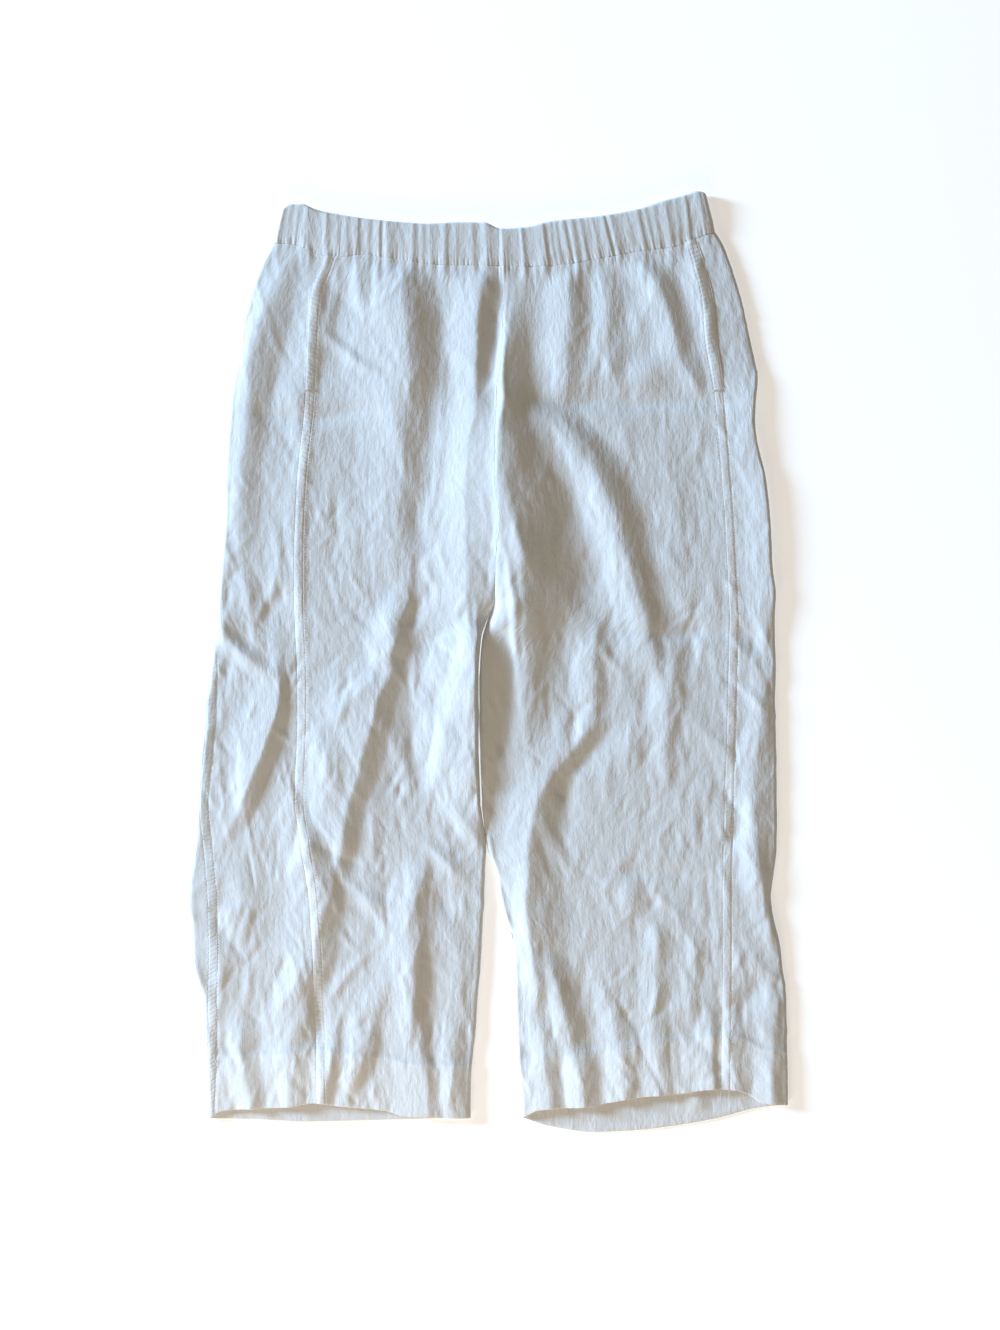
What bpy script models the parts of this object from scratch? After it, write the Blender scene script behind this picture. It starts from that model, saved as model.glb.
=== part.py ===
"""Wide-leg pull-on capri pants of washed linen, laid flat on their back with the front side up.

Frame: metres, +Z up off the surface the garment lies on, +Y from the hems to the waist, and +X towards
the wearer's left leg. The origin is under the middle of the garment's box.

Each leg is a flattened tube. A place on its wall is a station y, a layer (over the top or under the
bottom) and a distance in from the outer fold. The panels are stretches of that tube between their seams,
so they meet edge to edge with a seam's gap, and the turned-up hems and the pocket bags are made from
their panel's own points, moved inside it.
"""

import bpy
import numpy as np

# Driving dimensions, in metres.
CLOTH = 0.0010  # wall of the linen
BAND_WALL = 0.0022  # wall of the waistband, a casing folded over its elastic
SEAM_GAP = 0.0003  # between two pieces at a seam, and between a panel and what lies on it
WAIST_GAP = 0.0008  # between the panels and the waistband, which gathers them
LEG_GAP = 0.0004  # added on each side between the two legs, which aren't sewn together
HEM_DEPTH = 0.052  # turned-up hem
HEM_EDGE = 0.0010  # from a panel's edges to those of its turn-up
LEG_LENGTH = 0.850  # waist seam to hem, for the share of it that the hem takes

# Heights of the cloth's middle above the surface.
FLOOR_LAYER = CLOTH / 2  # bottom layer
TOP_LAYER = 0.0052  # top layer where it lies smooth
HEM_RISE = 0.0022  # what the doubled hem adds to it
FOLD_HEIGHT = 0.0026  # outer and inner folds
HEM_FOLD_HEIGHT = 0.0037  # the same folds at the doubled hem
HEM_RISE_START, HEM_RISE_END = -0.355, -0.385  # stations between which the hem's thickness comes in
TOP_ROUND = 0.0065  # width over which the top layer rounds down to a fold
FLOOR_ROUND = 0.0034  # width over which the bottom layer rounds up to a fold
BAND_FLOOR = BAND_WALL / 2
BAND_TOP = 0.0060
BAND_ROUND = 0.0042
MOUTH_RISE = 0.0045  # the top layer's arch over each open hem
MOUTH_REACH = 0.190  # length over which the arch fades up the leg

# Outline of each half, a row for each station y: the outer fold, the front's inner edge (centre-front
# seam above the crotch, the leg's inner fold below it), the front side seam, how round the inner edge is
# (0 on the flat centre seam, 1 on the fold), and how far under the leg the inseam lies from that fold.
OUTLINE = ("y", "outer", "inner", "seam", "round", "wrap")
WEARER_RIGHT = {
    "name": "right",
    "side": -1.0,
    "columns": OUTLINE,
    "rows": (
        (0.4300, -0.2110, 0.0150, -0.1520, 0.0, 0.0),
        (0.4185, -0.2160, 0.0150, -0.1570, 0.0, 0.0),
        (0.3945, -0.2280, 0.0150, -0.1660, 0.0, 0.0),
        (0.3625, -0.2390, 0.0150, -0.1770, 0.0, 0.0),
        (0.3225, -0.2480, 0.0145, -0.1800, 0.0, 0.0),
        (0.2625, -0.2570, 0.0080, -0.1830, 0.0, 0.0),
        (0.1825, -0.2630, 0.0065, -0.1910, 0.0, 0.0),
        (0.1425, -0.2635, 0.0120, -0.1930, 0.0, 0.0),
        (0.1025, -0.2670, 0.0075, -0.1940, 0.0, 0.0),
        (0.0625, -0.2700, 0.0070, -0.1940, 0.2, 0.0),
        (0.0425, -0.2710, -0.0010, -0.1935, 0.8, 0.0),
        (0.0225, -0.2730, -0.0065, -0.1925, 1.0, 0.004),
        (-0.0175, -0.2790, -0.0090, -0.1910, 1.0, 0.009),
        (-0.0575, -0.2835, -0.0090, -0.1910, 1.0, 0.009),
        (-0.1375, -0.2900, -0.0070, -0.1935, 1.0, 0.009),
        (-0.1825, -0.2935, -0.0020, -0.1870, 1.0, 0.009),
        (-0.2375, -0.3000, -0.0035, -0.1790, 1.0, 0.009),
        (-0.2600, -0.2970, -0.0045, -0.1775, 1.0, 0.009),
        (-0.2975, -0.2950, -0.0065, -0.1750, 1.0, 0.009),
        (-0.3375, -0.2860, -0.0100, -0.1740, 1.0, 0.009),
        (-0.3775, -0.2830, -0.0130, -0.1720, 1.0, 0.009),
        (-0.4175, -0.2810, -0.0165, -0.1715, 1.0, 0.009),
        (-0.4600, -0.2800, -0.0170, -0.1710, 1.0, 0.009),
    ),
}
WEARER_LEFT = {
    "name": "left",
    "side": 1.0,
    "columns": OUTLINE,
    "rows": (
        (0.4300, 0.2280, 0.0150, 0.2055, 0.0, 0.0),
        (0.4185, 0.2350, 0.0150, 0.2090, 0.0, 0.0),
        (0.3945, 0.2440, 0.0150, 0.2155, 0.0, 0.0),
        (0.3625, 0.2540, 0.0150, 0.2230, 0.0, 0.0),
        (0.3225, 0.2630, 0.0145, 0.2265, 0.0, 0.0),
        (0.2825, 0.2700, 0.0100, 0.2335, 0.0, 0.0),
        (0.2625, 0.2680, 0.0080, 0.2365, 0.0, 0.0),
        (0.2425, 0.2670, 0.0075, 0.2380, 0.0, 0.0),
        (0.1825, 0.2780, 0.0065, 0.2430, 0.0, 0.0),
        (0.1425, 0.2820, 0.0120, 0.2460, 0.0, 0.0),
        (0.1025, 0.2840, 0.0075, 0.2480, 0.0, 0.0),
        (0.0625, 0.2870, 0.0070, 0.2500, 0.2, 0.0),
        (0.0425, 0.2870, -0.0010, 0.2510, 0.8, 0.0),
        (0.0225, 0.2870, -0.0065, 0.2505, 1.0, 0.004),
        (-0.0175, 0.2870, -0.0090, 0.2495, 1.0, 0.009),
        (-0.0575, 0.2880, -0.0090, 0.2485, 1.0, 0.009),
        (-0.1375, 0.2890, -0.0070, 0.2460, 1.0, 0.009),
        (-0.1825, 0.2890, -0.0010, 0.2450, 1.0, 0.009),
        (-0.2175, 0.2850, 0.0095, 0.2440, 1.0, 0.009),
        (-0.2375, 0.2830, 0.0120, 0.2440, 1.0, 0.009),
        (-0.2775, 0.2910, 0.0235, 0.2440, 1.0, 0.009),
        (-0.2975, 0.2940, 0.0260, 0.2440, 1.0, 0.009),
        (-0.3375, 0.2980, 0.0270, 0.2435, 1.0, 0.009),
        (-0.3775, 0.2990, 0.0280, 0.2430, 1.0, 0.009),
        (-0.4175, 0.3000, 0.0310, 0.2420, 1.0, 0.009),
        (-0.4600, 0.3000, 0.0345, 0.2415, 1.0, 0.009),
    ),
}

# Full width of a side panel, round the outer fold from the front side seam to the back one.
SIDE_WIDTH = {
    "columns": ("y", "width"),
    "rows": ((0.42, 0.088), (0.25, 0.084), (0.10, 0.080), (0.01, 0.079), (-0.24, 0.092), (-0.46, 0.102)),
}

# Waistband ribs from the wearer's right fold to the left one, a row for each: its lower end on the waist
# seam, and its upper end on the folded top edge.
BAND_RIBS = {
    "columns": ("low_x", "low_y", "top_x", "top_y"),
    "rows": (
        (-0.2150, 0.4190, -0.2055, 0.4520),
        (-0.2030, 0.4190, -0.1980, 0.4575),
        (-0.1900, 0.4165, -0.1850, 0.4575),
        (-0.1780, 0.4110, -0.1740, 0.4530),
        (-0.1640, 0.4068, -0.1600, 0.4490),
        (-0.1450, 0.4058, -0.1420, 0.4460),
        (-0.1280, 0.4078, -0.1260, 0.4437),
        (-0.0950, 0.4035, -0.0940, 0.4403),
        (-0.0600, 0.3985, -0.0600, 0.4382),
        (-0.0300, 0.3970, -0.0300, 0.4396),
        (0.0000, 0.3967, -0.0030, 0.4390),
        (0.0130, 0.3965, 0.0120, 0.4332),
        (0.0400, 0.3958, 0.0350, 0.4345),
        (0.0720, 0.3975, 0.0620, 0.4405),
        (0.1200, 0.4055, 0.1100, 0.4457),
        (0.1600, 0.4125, 0.1500, 0.4530),
        (0.1830, 0.4150, 0.1750, 0.4612),
        (0.2000, 0.4215, 0.1960, 0.4668),
        (0.2160, 0.4270, 0.2090, 0.4704),
        (0.2270, 0.4300, 0.2170, 0.4690),
    ),
}
BACK_SEAM_DIP = (0.006, 0.3955)  # lowest point of the waist seam across the back
BACK_TOP_DIP = (0.012, 0.4325)  # lowest point of the back's top edge, just hidden by the front's
BAND_GATHERS = 9.5  # soft pleats drawn up by the elastic across the front
BAND_GATHER_HEIGHT = 0.0009

# Lower edges of the legs, a row for each point: the front hems ride up where folds run into them, and
# leave the inside of the back hems showing.
HEM_POINT = ("x", "y")
HEMS = {
    "front_right": {
        "columns": HEM_POINT,
        "rows": (
            (-0.280, -0.4565),
            (-0.265, -0.4478),
            (-0.198, -0.4435),
            (-0.176, -0.4398),
            (-0.145, -0.4435),
            (-0.104, -0.4475),
            (-0.079, -0.4535),
            (-0.017, -0.4555),
        ),
    },
    "back_right": {
        "columns": HEM_POINT,
        "rows": (
            (-0.280, -0.4565), (-0.237, -0.457), (-0.186, -0.4595), (-0.098, -0.4575), (-0.017, -0.4555),
        ),
    },
    "front_left": {
        "columns": HEM_POINT,
        "rows": (
            (0.034, -0.4555),
            (0.053, -0.4465),
            (0.093, -0.4440),
            (0.149, -0.4345),
            (0.193, -0.4305),
            (0.226, -0.4262),
            (0.247, -0.4270),
            (0.262, -0.4325),
            (0.274, -0.4400),
            (0.300, -0.4425),
        ),
    },
    "back_left": {
        "columns": HEM_POINT,
        "rows": (
            (0.034, -0.4555),
            (0.063, -0.4645),
            (0.107, -0.4700),
            (0.144, -0.4685),
            (0.223, -0.4575),
            (0.274, -0.4450),
            (0.300, -0.4425),
        ),
    },
}

# The largest folds of the top layer, a row for each: start, middle and end of its crest, its height, how
# far its flanks reach to the wearer's right and left, and the share of its length it grows and fades in.
FOLDS = {
    "columns": ("x0", "y0", "x1", "y1", "x2", "y2", "height", "right", "left", "grow", "fade"),
    "rows": (
        (-0.208, 0.400, -0.238, 0.330, -0.248, 0.180, 0.0040, 0.018, 0.034, 0.10, 0.60),
        (-0.172, 0.395, -0.184, 0.300, -0.190, 0.100, 0.0022, 0.030, 0.030, 0.10, 0.50),
        (-0.075, 0.392, -0.078, 0.300, -0.080, 0.170, 0.0048, 0.060, 0.036, 0.10, 0.30),
        (-0.008, 0.392, -0.016, 0.280, -0.030, 0.110, 0.0078, 0.034, 0.060, 0.05, 0.45),
        (-0.026, 0.140, -0.030, 0.040, -0.032, -0.110, 0.0062, 0.042, 0.026, 0.30, 0.40),
        (-0.078, 0.150, -0.086, 0.050, -0.116, -0.005, 0.0050, 0.050, 0.020, 0.40, 0.30),
        (-0.092, 0.000, -0.122, -0.080, -0.150, -0.190, 0.0072, 0.045, 0.026, 0.15, 0.30),
        (-0.206, 0.010, -0.212, -0.080, -0.258, -0.175, 0.0050, 0.034, 0.022, 0.20, 0.30),
        (-0.204, -0.130, -0.181, -0.260, -0.188, -0.450, 0.0066, 0.034, 0.030, 0.25, 0.0),
        (-0.052, -0.205, -0.084, -0.280, -0.070, -0.400, 0.0066, 0.050, 0.026, 0.20, 0.30),
        (-0.248, -0.340, -0.240, -0.400, -0.236, -0.450, 0.0042, 0.020, 0.022, 0.30, 0.0),
        (-0.090, -0.310, -0.112, -0.370, -0.132, -0.445, 0.0040, 0.030, 0.022, 0.30, 0.0),
        (-0.036, -0.200, -0.038, -0.330, -0.040, -0.450, 0.0040, 0.028, 0.020, 0.30, 0.0),
        (0.016, 0.390, 0.012, 0.270, 0.030, 0.090, 0.0046, 0.020, 0.046, 0.10, 0.30),
        (0.032, 0.120, 0.044, 0.030, 0.040, -0.080, 0.0056, 0.034, 0.046, 0.30, 0.30),
        (0.080, 0.392, 0.082, 0.330, 0.078, 0.262, 0.0046, 0.030, 0.024, 0.10, 0.30),
        (0.150, 0.395, 0.181, 0.345, 0.200, 0.280, 0.0052, 0.034, 0.024, 0.15, 0.30),
        (0.052, 0.262, 0.118, 0.170, 0.164, 0.005, 0.0086, 0.044, 0.032, 0.20, 0.25),
        (0.179, 0.010, 0.178, -0.040, 0.172, -0.110, 0.0054, 0.024, 0.024, 0.30, 0.40),
        (0.108, -0.062, 0.062, -0.130, 0.042, -0.230, 0.0070, 0.045, 0.034, 0.20, 0.30),
        (0.046, -0.215, 0.050, -0.330, 0.064, -0.450, 0.0066, 0.020, 0.028, 0.20, 0.0),
        (0.116, -0.300, 0.126, -0.370, 0.136, -0.445, 0.0042, 0.028, 0.024, 0.30, 0.0),
        (0.172, -0.262, 0.170, -0.340, 0.172, -0.440, 0.0040, 0.034, 0.020, 0.30, 0.0),
        (0.246, -0.175, 0.268, -0.220, 0.276, -0.280, 0.0040, 0.026, 0.018, 0.20, 0.30),
        (0.268, -0.330, 0.277, -0.380, 0.278, -0.445, 0.0038, 0.020, 0.018, 0.30, 0.0),
    ),
}
FOLD_STEPS = 14  # straight steps that a fold's curved crest is measured along
EDGE_CALM = 0.020  # width beside the garment's edges over which the folds die away

# Grid sizes: rows from the waist seam to the hem's stitching, then rows down the hem, and columns across.
BODY_ROWS, HEM_ROWS = 24, 2
FRONT_COLUMNS, SIDE_COLUMNS, BACK_COLUMNS = 17, 10, 10
BAND_ROWS, BAND_TOP_COLUMNS, BAND_FLOOR_COLUMNS = 3, 38, 20
POCKET_ROWS, POCKET_COLUMNS = 8, 8
CROWD_REACH = 0.005  # columns are this many times closer within this way of a fold:
FRONT_CROWDING, SIDE_CROWDING, BACK_CROWDING = 6.0, 6.0, 18.0

LINEN = {"colour": (0.80, 0.79, 0.77, 1.0), "roughness": 0.9, "metallic": 0.0}
POCKETING = {"colour": (0.86, 0.85, 0.83, 1.0), "roughness": 0.85, "metallic": 0.0}


def clear_scene():
    for leftover in list(bpy.data.objects):
        bpy.data.objects.remove(leftover, do_unlink=True)


def new_collection(name):
    collection = bpy.data.collections.new(name)
    bpy.context.scene.collection.children.link(collection)
    return collection


def new_material(name, finish):
    made = bpy.data.materials.new(name)
    made.use_nodes = True
    shader = made.node_tree.nodes["Principled BSDF"]
    shader.inputs["Base Color"].default_value = finish["colour"]
    shader.inputs["Roughness"].default_value = finish["roughness"]
    shader.inputs["Metallic"].default_value = finish["metallic"]
    return made


def column(table, name):
    """One named column of a table of rows, as an array."""
    return np.array(table["rows"])[:, table["columns"].index(name)]


def smooth(share):
    """Smooth step: 0 below 0, 1 above 1, with level ends."""
    share = np.clip(share, 0.0, 1.0)
    return share * share * (3.0 - 2.0 * share)


def curve(at, table, station, name):
    """Cubic curve through two columns of a table, that never overshoots its rows."""
    stations = column(table, station)
    values = column(table, name)
    if stations[0] > stations[-1]:
        stations = stations[::-1]
        values = values[::-1]
    step = np.diff(stations)
    slope = np.diff(values) / step
    same_way = slope[:-1] * slope[1:] > 0.0
    total = np.where(same_way, slope[:-1] + slope[1:], 1.0)
    inner = np.where(same_way, 2.0 * slope[:-1] * slope[1:] / total, 0.0)
    tangent = np.concatenate(([slope[0]], inner, [slope[-1]]))
    at = np.clip(at, stations[0], stations[-1])
    i = np.clip(np.searchsorted(stations, at) - 1, 0, len(step) - 1)
    t = (at - stations[i]) / step[i]
    bend = t * (1.0 - t) ** 2 * tangent[i] - t * t * (1.0 - t) * tangent[i + 1]
    return values[i] + (values[i + 1] - values[i]) * smooth(t) + bend * step[i]


def crest_of(fold):
    """Points along a fold's crest, a parabola through its start, middle and end."""
    start = np.array((fold["x0"], fold["y0"]))
    middle = np.array((fold["x1"], fold["y1"]))
    end = np.array((fold["x2"], fold["y2"]))
    control = 2.0 * middle - 0.5 * (start + end)
    t = np.linspace(0.0, 1.0, FOLD_STEPS + 1)[:, None]
    return (1.0 - t) ** 2 * start + 2.0 * t * (1.0 - t) * control + t**2 * end


def fold_rise(fold, x, y):
    """Height that one fold adds: full on its crest, and none past its flanks."""
    crest = crest_of(fold)
    away = np.full(x.shape, np.inf)
    across = np.zeros(x.shape)
    share = np.zeros(x.shape)
    for i in range(FOLD_STEPS):
        run = crest[i + 1] - crest[i]
        length = np.hypot(*run)
        run_x, run_y = run / length
        dx = x - crest[i, 0]
        dy = y - crest[i, 1]
        forward = np.clip(dx * run_x + dy * run_y, 0.0, length)
        distance = np.hypot(dx - forward * run_x, dy - forward * run_y)
        nearer = distance < away
        away = np.where(nearer, distance, away)
        across = np.where(nearer, dy * run_x - dx * run_y, across)
        share = np.where(nearer, (i + forward / length) / FOLD_STEPS, share)
    reach = np.where(across > 0.0, fold["left"], fold["right"])
    grown = smooth(share / fold["grow"])
    faded = smooth((1.0 - share) / fold["fade"]) if fold["fade"] else 1.0
    return fold["height"] * (1.0 - smooth(away / reach)) * grown * faded


def outline(half, y):
    """Outer and inner edges of the wall's middle, how round the inner edge is, and the leg's width."""
    round_edge = curve(y, half, "y", "round")
    outer = curve(y, half, "y", "outer") - half["side"] * CLOTH / 2.0
    inset = SEAM_GAP / 2.0 + (CLOTH / 2.0 + LEG_GAP) * round_edge
    inner = curve(y, half, "y", "inner") + half["side"] * inset
    return outer, inner, round_edge, np.abs(outer - inner)


def hem_thickness(y):
    """Share of the doubled hem's thickness felt at a station: 0 up the leg, 1 on the hem."""
    return smooth((HEM_RISE_START - y) / (HEM_RISE_START - HEM_RISE_END))


def top_height(half, x, y):
    """Height of the top layer: its folds, its arch over the open hem, and the hem's own thickness."""
    outer, inner, round_edge, width = outline(half, y)
    from_outer = np.abs(x - outer)
    from_inner = np.abs(x - inner)
    calm = smooth(from_outer / EDGE_CALM) * (1.0 - round_edge * (1.0 - smooth(from_inner / EDGE_CALM)))
    folds = sum(fold_rise(dict(zip(FOLDS["columns"], row)), x, y) for row in FOLDS["rows"])
    across = np.clip(from_outer / width, 0.0, 1.0)
    above_hem = y - curve(x, HEMS["front_" + half["name"]], "x", "y")
    arch = MOUTH_RISE * np.sin(np.pi * across) * (1.0 - smooth(above_hem / MOUTH_REACH))
    return TOP_LAYER + folds * calm + arch + HEM_RISE * hem_thickness(y)


def share_of_height(distance, width):
    """Share of a layer's full height reached a distance in from a fold that rounds over this width."""
    near = 1.0 - np.clip(distance / width, 0.0, 1.0)
    return np.sqrt(1.0 - near * near)


def leg_point(half, over, distance, y):
    """Point of the leg's tube: on the layer over or under, a distance in from the outer fold."""
    outer, inner, round_edge, width = outline(half, y)
    rounding = np.where(over, TOP_ROUND, FLOOR_ROUND)
    outer_share = share_of_height(distance, rounding)
    inner_share = share_of_height(np.maximum(width - distance, 0.0), rounding)
    share = outer_share * (1.0 - round_edge * (1.0 - inner_share))
    x = outer - half["side"] * distance
    fold = FOLD_HEIGHT + (HEM_FOLD_HEIGHT - FOLD_HEIGHT) * hem_thickness(y)
    level = np.where(over, top_height(half, x, y), FLOOR_LAYER)
    return np.stack((x, y + 0.0 * x, fold + (level - fold) * share), axis=-1)


def round_a_fold(way):
    """Layer and distance in from a fold, for a way round it: over the top above 0, underneath below."""
    over = way >= 0.0
    rounding = np.where(over, TOP_ROUND, FLOOR_ROUND)
    angle = np.clip(np.abs(way) / rounding, 0.0, np.pi / 2.0)
    straight = np.maximum(np.abs(way) - rounding * np.pi / 2.0, 0.0)
    return over, rounding * (1.0 - np.cos(angle)) + straight


def way_round(over, distance):
    """The way round a fold that lies a distance in from it on one layer."""
    rounding = TOP_ROUND if over else FLOOR_ROUND
    angle = np.arccos(1.0 - np.clip(distance / rounding, 0.0, 1.0))
    way = np.where(distance < rounding, rounding * angle, distance + rounding * (np.pi / 2.0 - 1.0))
    return way if over else -way


def ways_between(first, last, columns, crowding):
    """Ways round from one seam to another: even steps of the way stretched by crowding at the fold."""

    def stretched(way):
        return way + crowding * CROWD_REACH * np.tanh(way / CROWD_REACH)

    ways = np.linspace(-0.35, 0.35, 7001)
    even = np.linspace(0.0, 1.0, columns)
    steps = stretched(first) + (stretched(last) - stretched(first)) * even
    return np.interp(steps, stretched(ways), ways)


def front_seam_distance(half, y):
    return np.abs(outline(half, y)[0] - curve(y, half, "y", "seam"))


def back_seam_way(half, y):
    """Way round the outer fold of a side panel's back seam: under the leg, or over it if negative."""
    return way_round(True, front_seam_distance(half, y)) - curve(y, SIDE_WIDTH, "y", "width")


def front_place(half, y):
    """Front: from the centre-front seam or the inseam under the leg's inner fold to the side seam."""
    width = outline(half, y)[3]
    inseam = way_round(False, curve(y, half, "y", "wrap"))
    side_seam = way_round(True, width - front_seam_distance(half, y) - SEAM_GAP / 2.0)
    over, inward = round_a_fold(ways_between(inseam, side_seam, FRONT_COLUMNS, FRONT_CROWDING))
    return over, width - inward


def half_gap_near_fold(way):
    """Half a seam's gap, wider where the seam crosses a fold and its pieces' walls lean together."""
    return SEAM_GAP * (0.5 + 1.3 * np.exp(-((way / FLOOR_ROUND) ** 2) / 2.0))


def side_place(half, y):
    """Side panel: from the front side seam round the outer fold to the back side seam."""
    front_seam = way_round(True, front_seam_distance(half, y) - SEAM_GAP / 2.0)
    back_seam = back_seam_way(half, y)
    back_seam = back_seam + half_gap_near_fold(back_seam)
    return round_a_fold(ways_between(front_seam, back_seam, SIDE_COLUMNS, SIDE_CROWDING))


def back_place(half, y):
    """Back: from the back side seam to the inseam, or to the centre-back seam above the crotch."""
    width = outline(half, y)[3]
    side_seam = back_seam_way(half, y)
    side_seam = side_seam - half_gap_near_fold(side_seam)
    wrap = curve(y, half, "y", "wrap")
    gap = 2.0 * half_gap_near_fold(wrap) * smooth(wrap / SEAM_GAP)
    inseam = way_round(False, width - wrap - gap)
    return round_a_fold(ways_between(side_seam, inseam, BACK_COLUMNS, BACK_CROWDING))


def hung_between(x, left, middle, right):
    """Two half parabolas that rise from a low middle point to the two ends, each an (x, y) pair."""
    end_x = np.where(x < middle[0], left[0], right[0])
    end_y = np.where(x < middle[0], left[1], right[1])
    return middle[1] + (end_y - middle[1]) * ((x - middle[0]) / (end_x - middle[0])) ** 2


def waist_seam(x, over):
    """Station of the waist seam at x: gathered unevenly over the front, one smooth dip across the back."""
    low_x = column(BAND_RIBS, "low_x")
    low_y = column(BAND_RIBS, "low_y")
    back = hung_between(x, (low_x[0], low_y[0]), BACK_SEAM_DIP, (low_x[-1], low_y[-1]))
    return np.where(over, curve(x, BAND_RIBS, "low_x", "low_y"), back)


def band_top(x, over):
    """The band's top edge above a place on its waist seam: its x and its station."""
    top_x = curve(x, BAND_RIBS, "low_x", "top_x")
    ends = column(BAND_RIBS, "top_x")[[0, -1]]
    heights = column(BAND_RIBS, "top_y")[[0, -1]]
    back = hung_between(top_x, (ends[0], heights[0]), BACK_TOP_DIP, (ends[1], heights[1]))
    return top_x, np.where(over, curve(x, BAND_RIBS, "low_x", "top_y"), back)


def hem_line(half, x, over):
    """Station of a leg's lower edge at x: the front's over the top, the back's underneath."""
    front = curve(x, HEMS["front_" + half["name"]], "x", "y")
    back = curve(x, HEMS["back_" + half["name"]], "x", "y")
    return np.where(over, front, back)


def panel_points(half, place, columns):
    """Grid of a panel's points, from the waist seam down to the hem's stitching and on to its edge.

    A point's station depends on its x, and its x on its station, so both settle in a few passes.
    """
    hem_share = 1.0 - HEM_DEPTH / LEG_LENGTH
    body = np.linspace(0.0, hem_share, BODY_ROWS)
    hem = np.linspace(hem_share, 1.0, HEM_ROWS + 1)[1:]
    down = np.concatenate((body, hem))[:, None] * np.ones(columns)
    y = 0.40 - LEG_LENGTH * down
    for _ in range(5):
        over, distance = place(half, y)
        x = leg_point(half, over, distance, y)[..., 0]
        top = waist_seam(x, over) - WAIST_GAP
        y = top + (hem_line(half, x, over) - top) * down
    over, distance = place(half, y)
    return leg_point(half, over, distance, y)


def moved_inside(points, step, side):
    """A grid of points moved off its surface, towards the inside of the leg."""
    down = np.gradient(points, axis=0)
    across = np.gradient(points, axis=1)
    inwards = np.cross(across, down) * side
    return points + inwards / np.linalg.norm(inwards, axis=-1, keepdims=True) * step


def sheet(name, points, wall, finish, collection, closed=False):
    """One named piece: a grid of points given a wall by Solidify. A closed grid joins its ends."""
    rows, columns = points.shape[:2]
    index = np.arange(rows * columns).reshape(rows, columns)
    after = np.roll(index, -1, axis=1)
    last = columns if closed else columns - 1
    corners = (index[:-1, :last], after[:-1, :last], after[1:, :last], index[1:, :last])
    mesh = bpy.data.meshes.new(name)
    mesh.from_pydata(points.reshape(-1, 3).tolist(), [], np.stack(corners, -1).reshape(-1, 4).tolist())
    mesh.materials.append(finish)
    made = bpy.data.objects.new(name, mesh)
    collection.objects.link(made)
    shell = made.modifiers.new("Wall", "SOLIDIFY")
    shell.thickness = wall
    shell.offset = 0.0
    return made


def turn_up(points, side):
    """A panel's turned-up hem: its lowest rows moved inside it, starting just above its edge."""
    rows = moved_inside(points, CLOTH + SEAM_GAP, side)[-HEM_ROWS - 1 :]
    first_two, last_two = (np.s_[0], np.s_[1]), (np.s_[-1], np.s_[-2])
    left_two, right_two = (np.s_[:, 0], np.s_[:, 1]), (np.s_[:, -1], np.s_[:, -2])
    for edge, next_in in (first_two, last_two, left_two, right_two):
        inwards = rows[next_in] - rows[edge]
        rows[edge] += HEM_EDGE * inwards / np.linalg.norm(inwards, axis=-1, keepdims=True)
    return rows


def pocket_bag(points, side):
    """In-seam pocket bag pressed flat under the front, from the side seam inwards below the waist."""
    inside = moved_inside(points, CLOTH + SEAM_GAP, side)
    return inside[1 : POCKET_ROWS + 1, -POCKET_COLUMNS:]


def leg_pieces(half, linen, pocketing, collection):
    """The three panels of one leg, each with its turn-up, and the leg's pocket bag."""
    places = (
        ("front", front_place, FRONT_COLUMNS),
        ("side", side_place, SIDE_COLUMNS),
        ("back", back_place, BACK_COLUMNS),
    )
    for panel, place, columns in places:
        points = panel_points(half, place, columns)
        sheet(panel + "_" + half["name"], points, CLOTH, linen, collection)
        sheet("hem_" + panel + "_" + half["name"], turn_up(points, half["side"]), CLOTH, linen, collection)
        if panel == "front":
            bag = pocket_bag(points, half["side"])
            sheet("pocket_bag_" + half["name"], bag, CLOTH, pocketing, collection)


def band_layer(over, columns):
    """Layer and rib places across the waistband, with fine steps where it rounds down at its folds."""
    low = column(BAND_RIBS, "low_x")
    width = low[-1] - low[0]
    near = BAND_ROUND * (1.0 - np.cos(np.linspace(0.0, np.pi / 2.0, 4)[:-1]))
    middle = np.linspace(BAND_ROUND, width - BAND_ROUND, columns)
    across = np.concatenate((near, middle, width - near[::-1]))
    across = across if over else across[::-1][1:-1]
    return np.full(len(across), over), across


def waistband(linen, collection):
    """Waistband: a ring of folded casing, each rib leaning from its low end to its top end, with soft
    gathers over the front and a flat back."""
    top_over, top_across = band_layer(True, BAND_TOP_COLUMNS)
    floor_over, floor_across = band_layer(False, BAND_FLOOR_COLUMNS)
    over = np.concatenate((top_over, floor_over))
    across = np.concatenate((top_across, floor_across))
    low_x = column(BAND_RIBS, "low_x")
    rib = low_x[0] + across
    low = np.stack((rib, waist_seam(rib, over)), axis=-1)
    top = np.stack(band_top(rib, over), axis=-1)
    up = np.linspace(0.0, 1.0, BAND_ROWS)[:, None, None]
    flat = low + (top - low) * up
    width = low_x[-1] - low_x[0]
    share = share_of_height(across, BAND_ROUND) * share_of_height(width - across, BAND_ROUND)
    gathers = BAND_GATHER_HEIGHT * np.sin(2.0 * np.pi * BAND_GATHERS * across / width)
    fold = (BAND_FLOOR + BAND_TOP) / 2.0
    level = np.where(over, BAND_TOP + gathers, BAND_FLOOR)
    z = np.broadcast_to(fold + (level - fold) * share, flat.shape[:2])
    points = np.concatenate((flat, z[..., None]), axis=-1)
    return sheet("waistband", points, BAND_WALL, linen, collection, closed=True)


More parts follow.
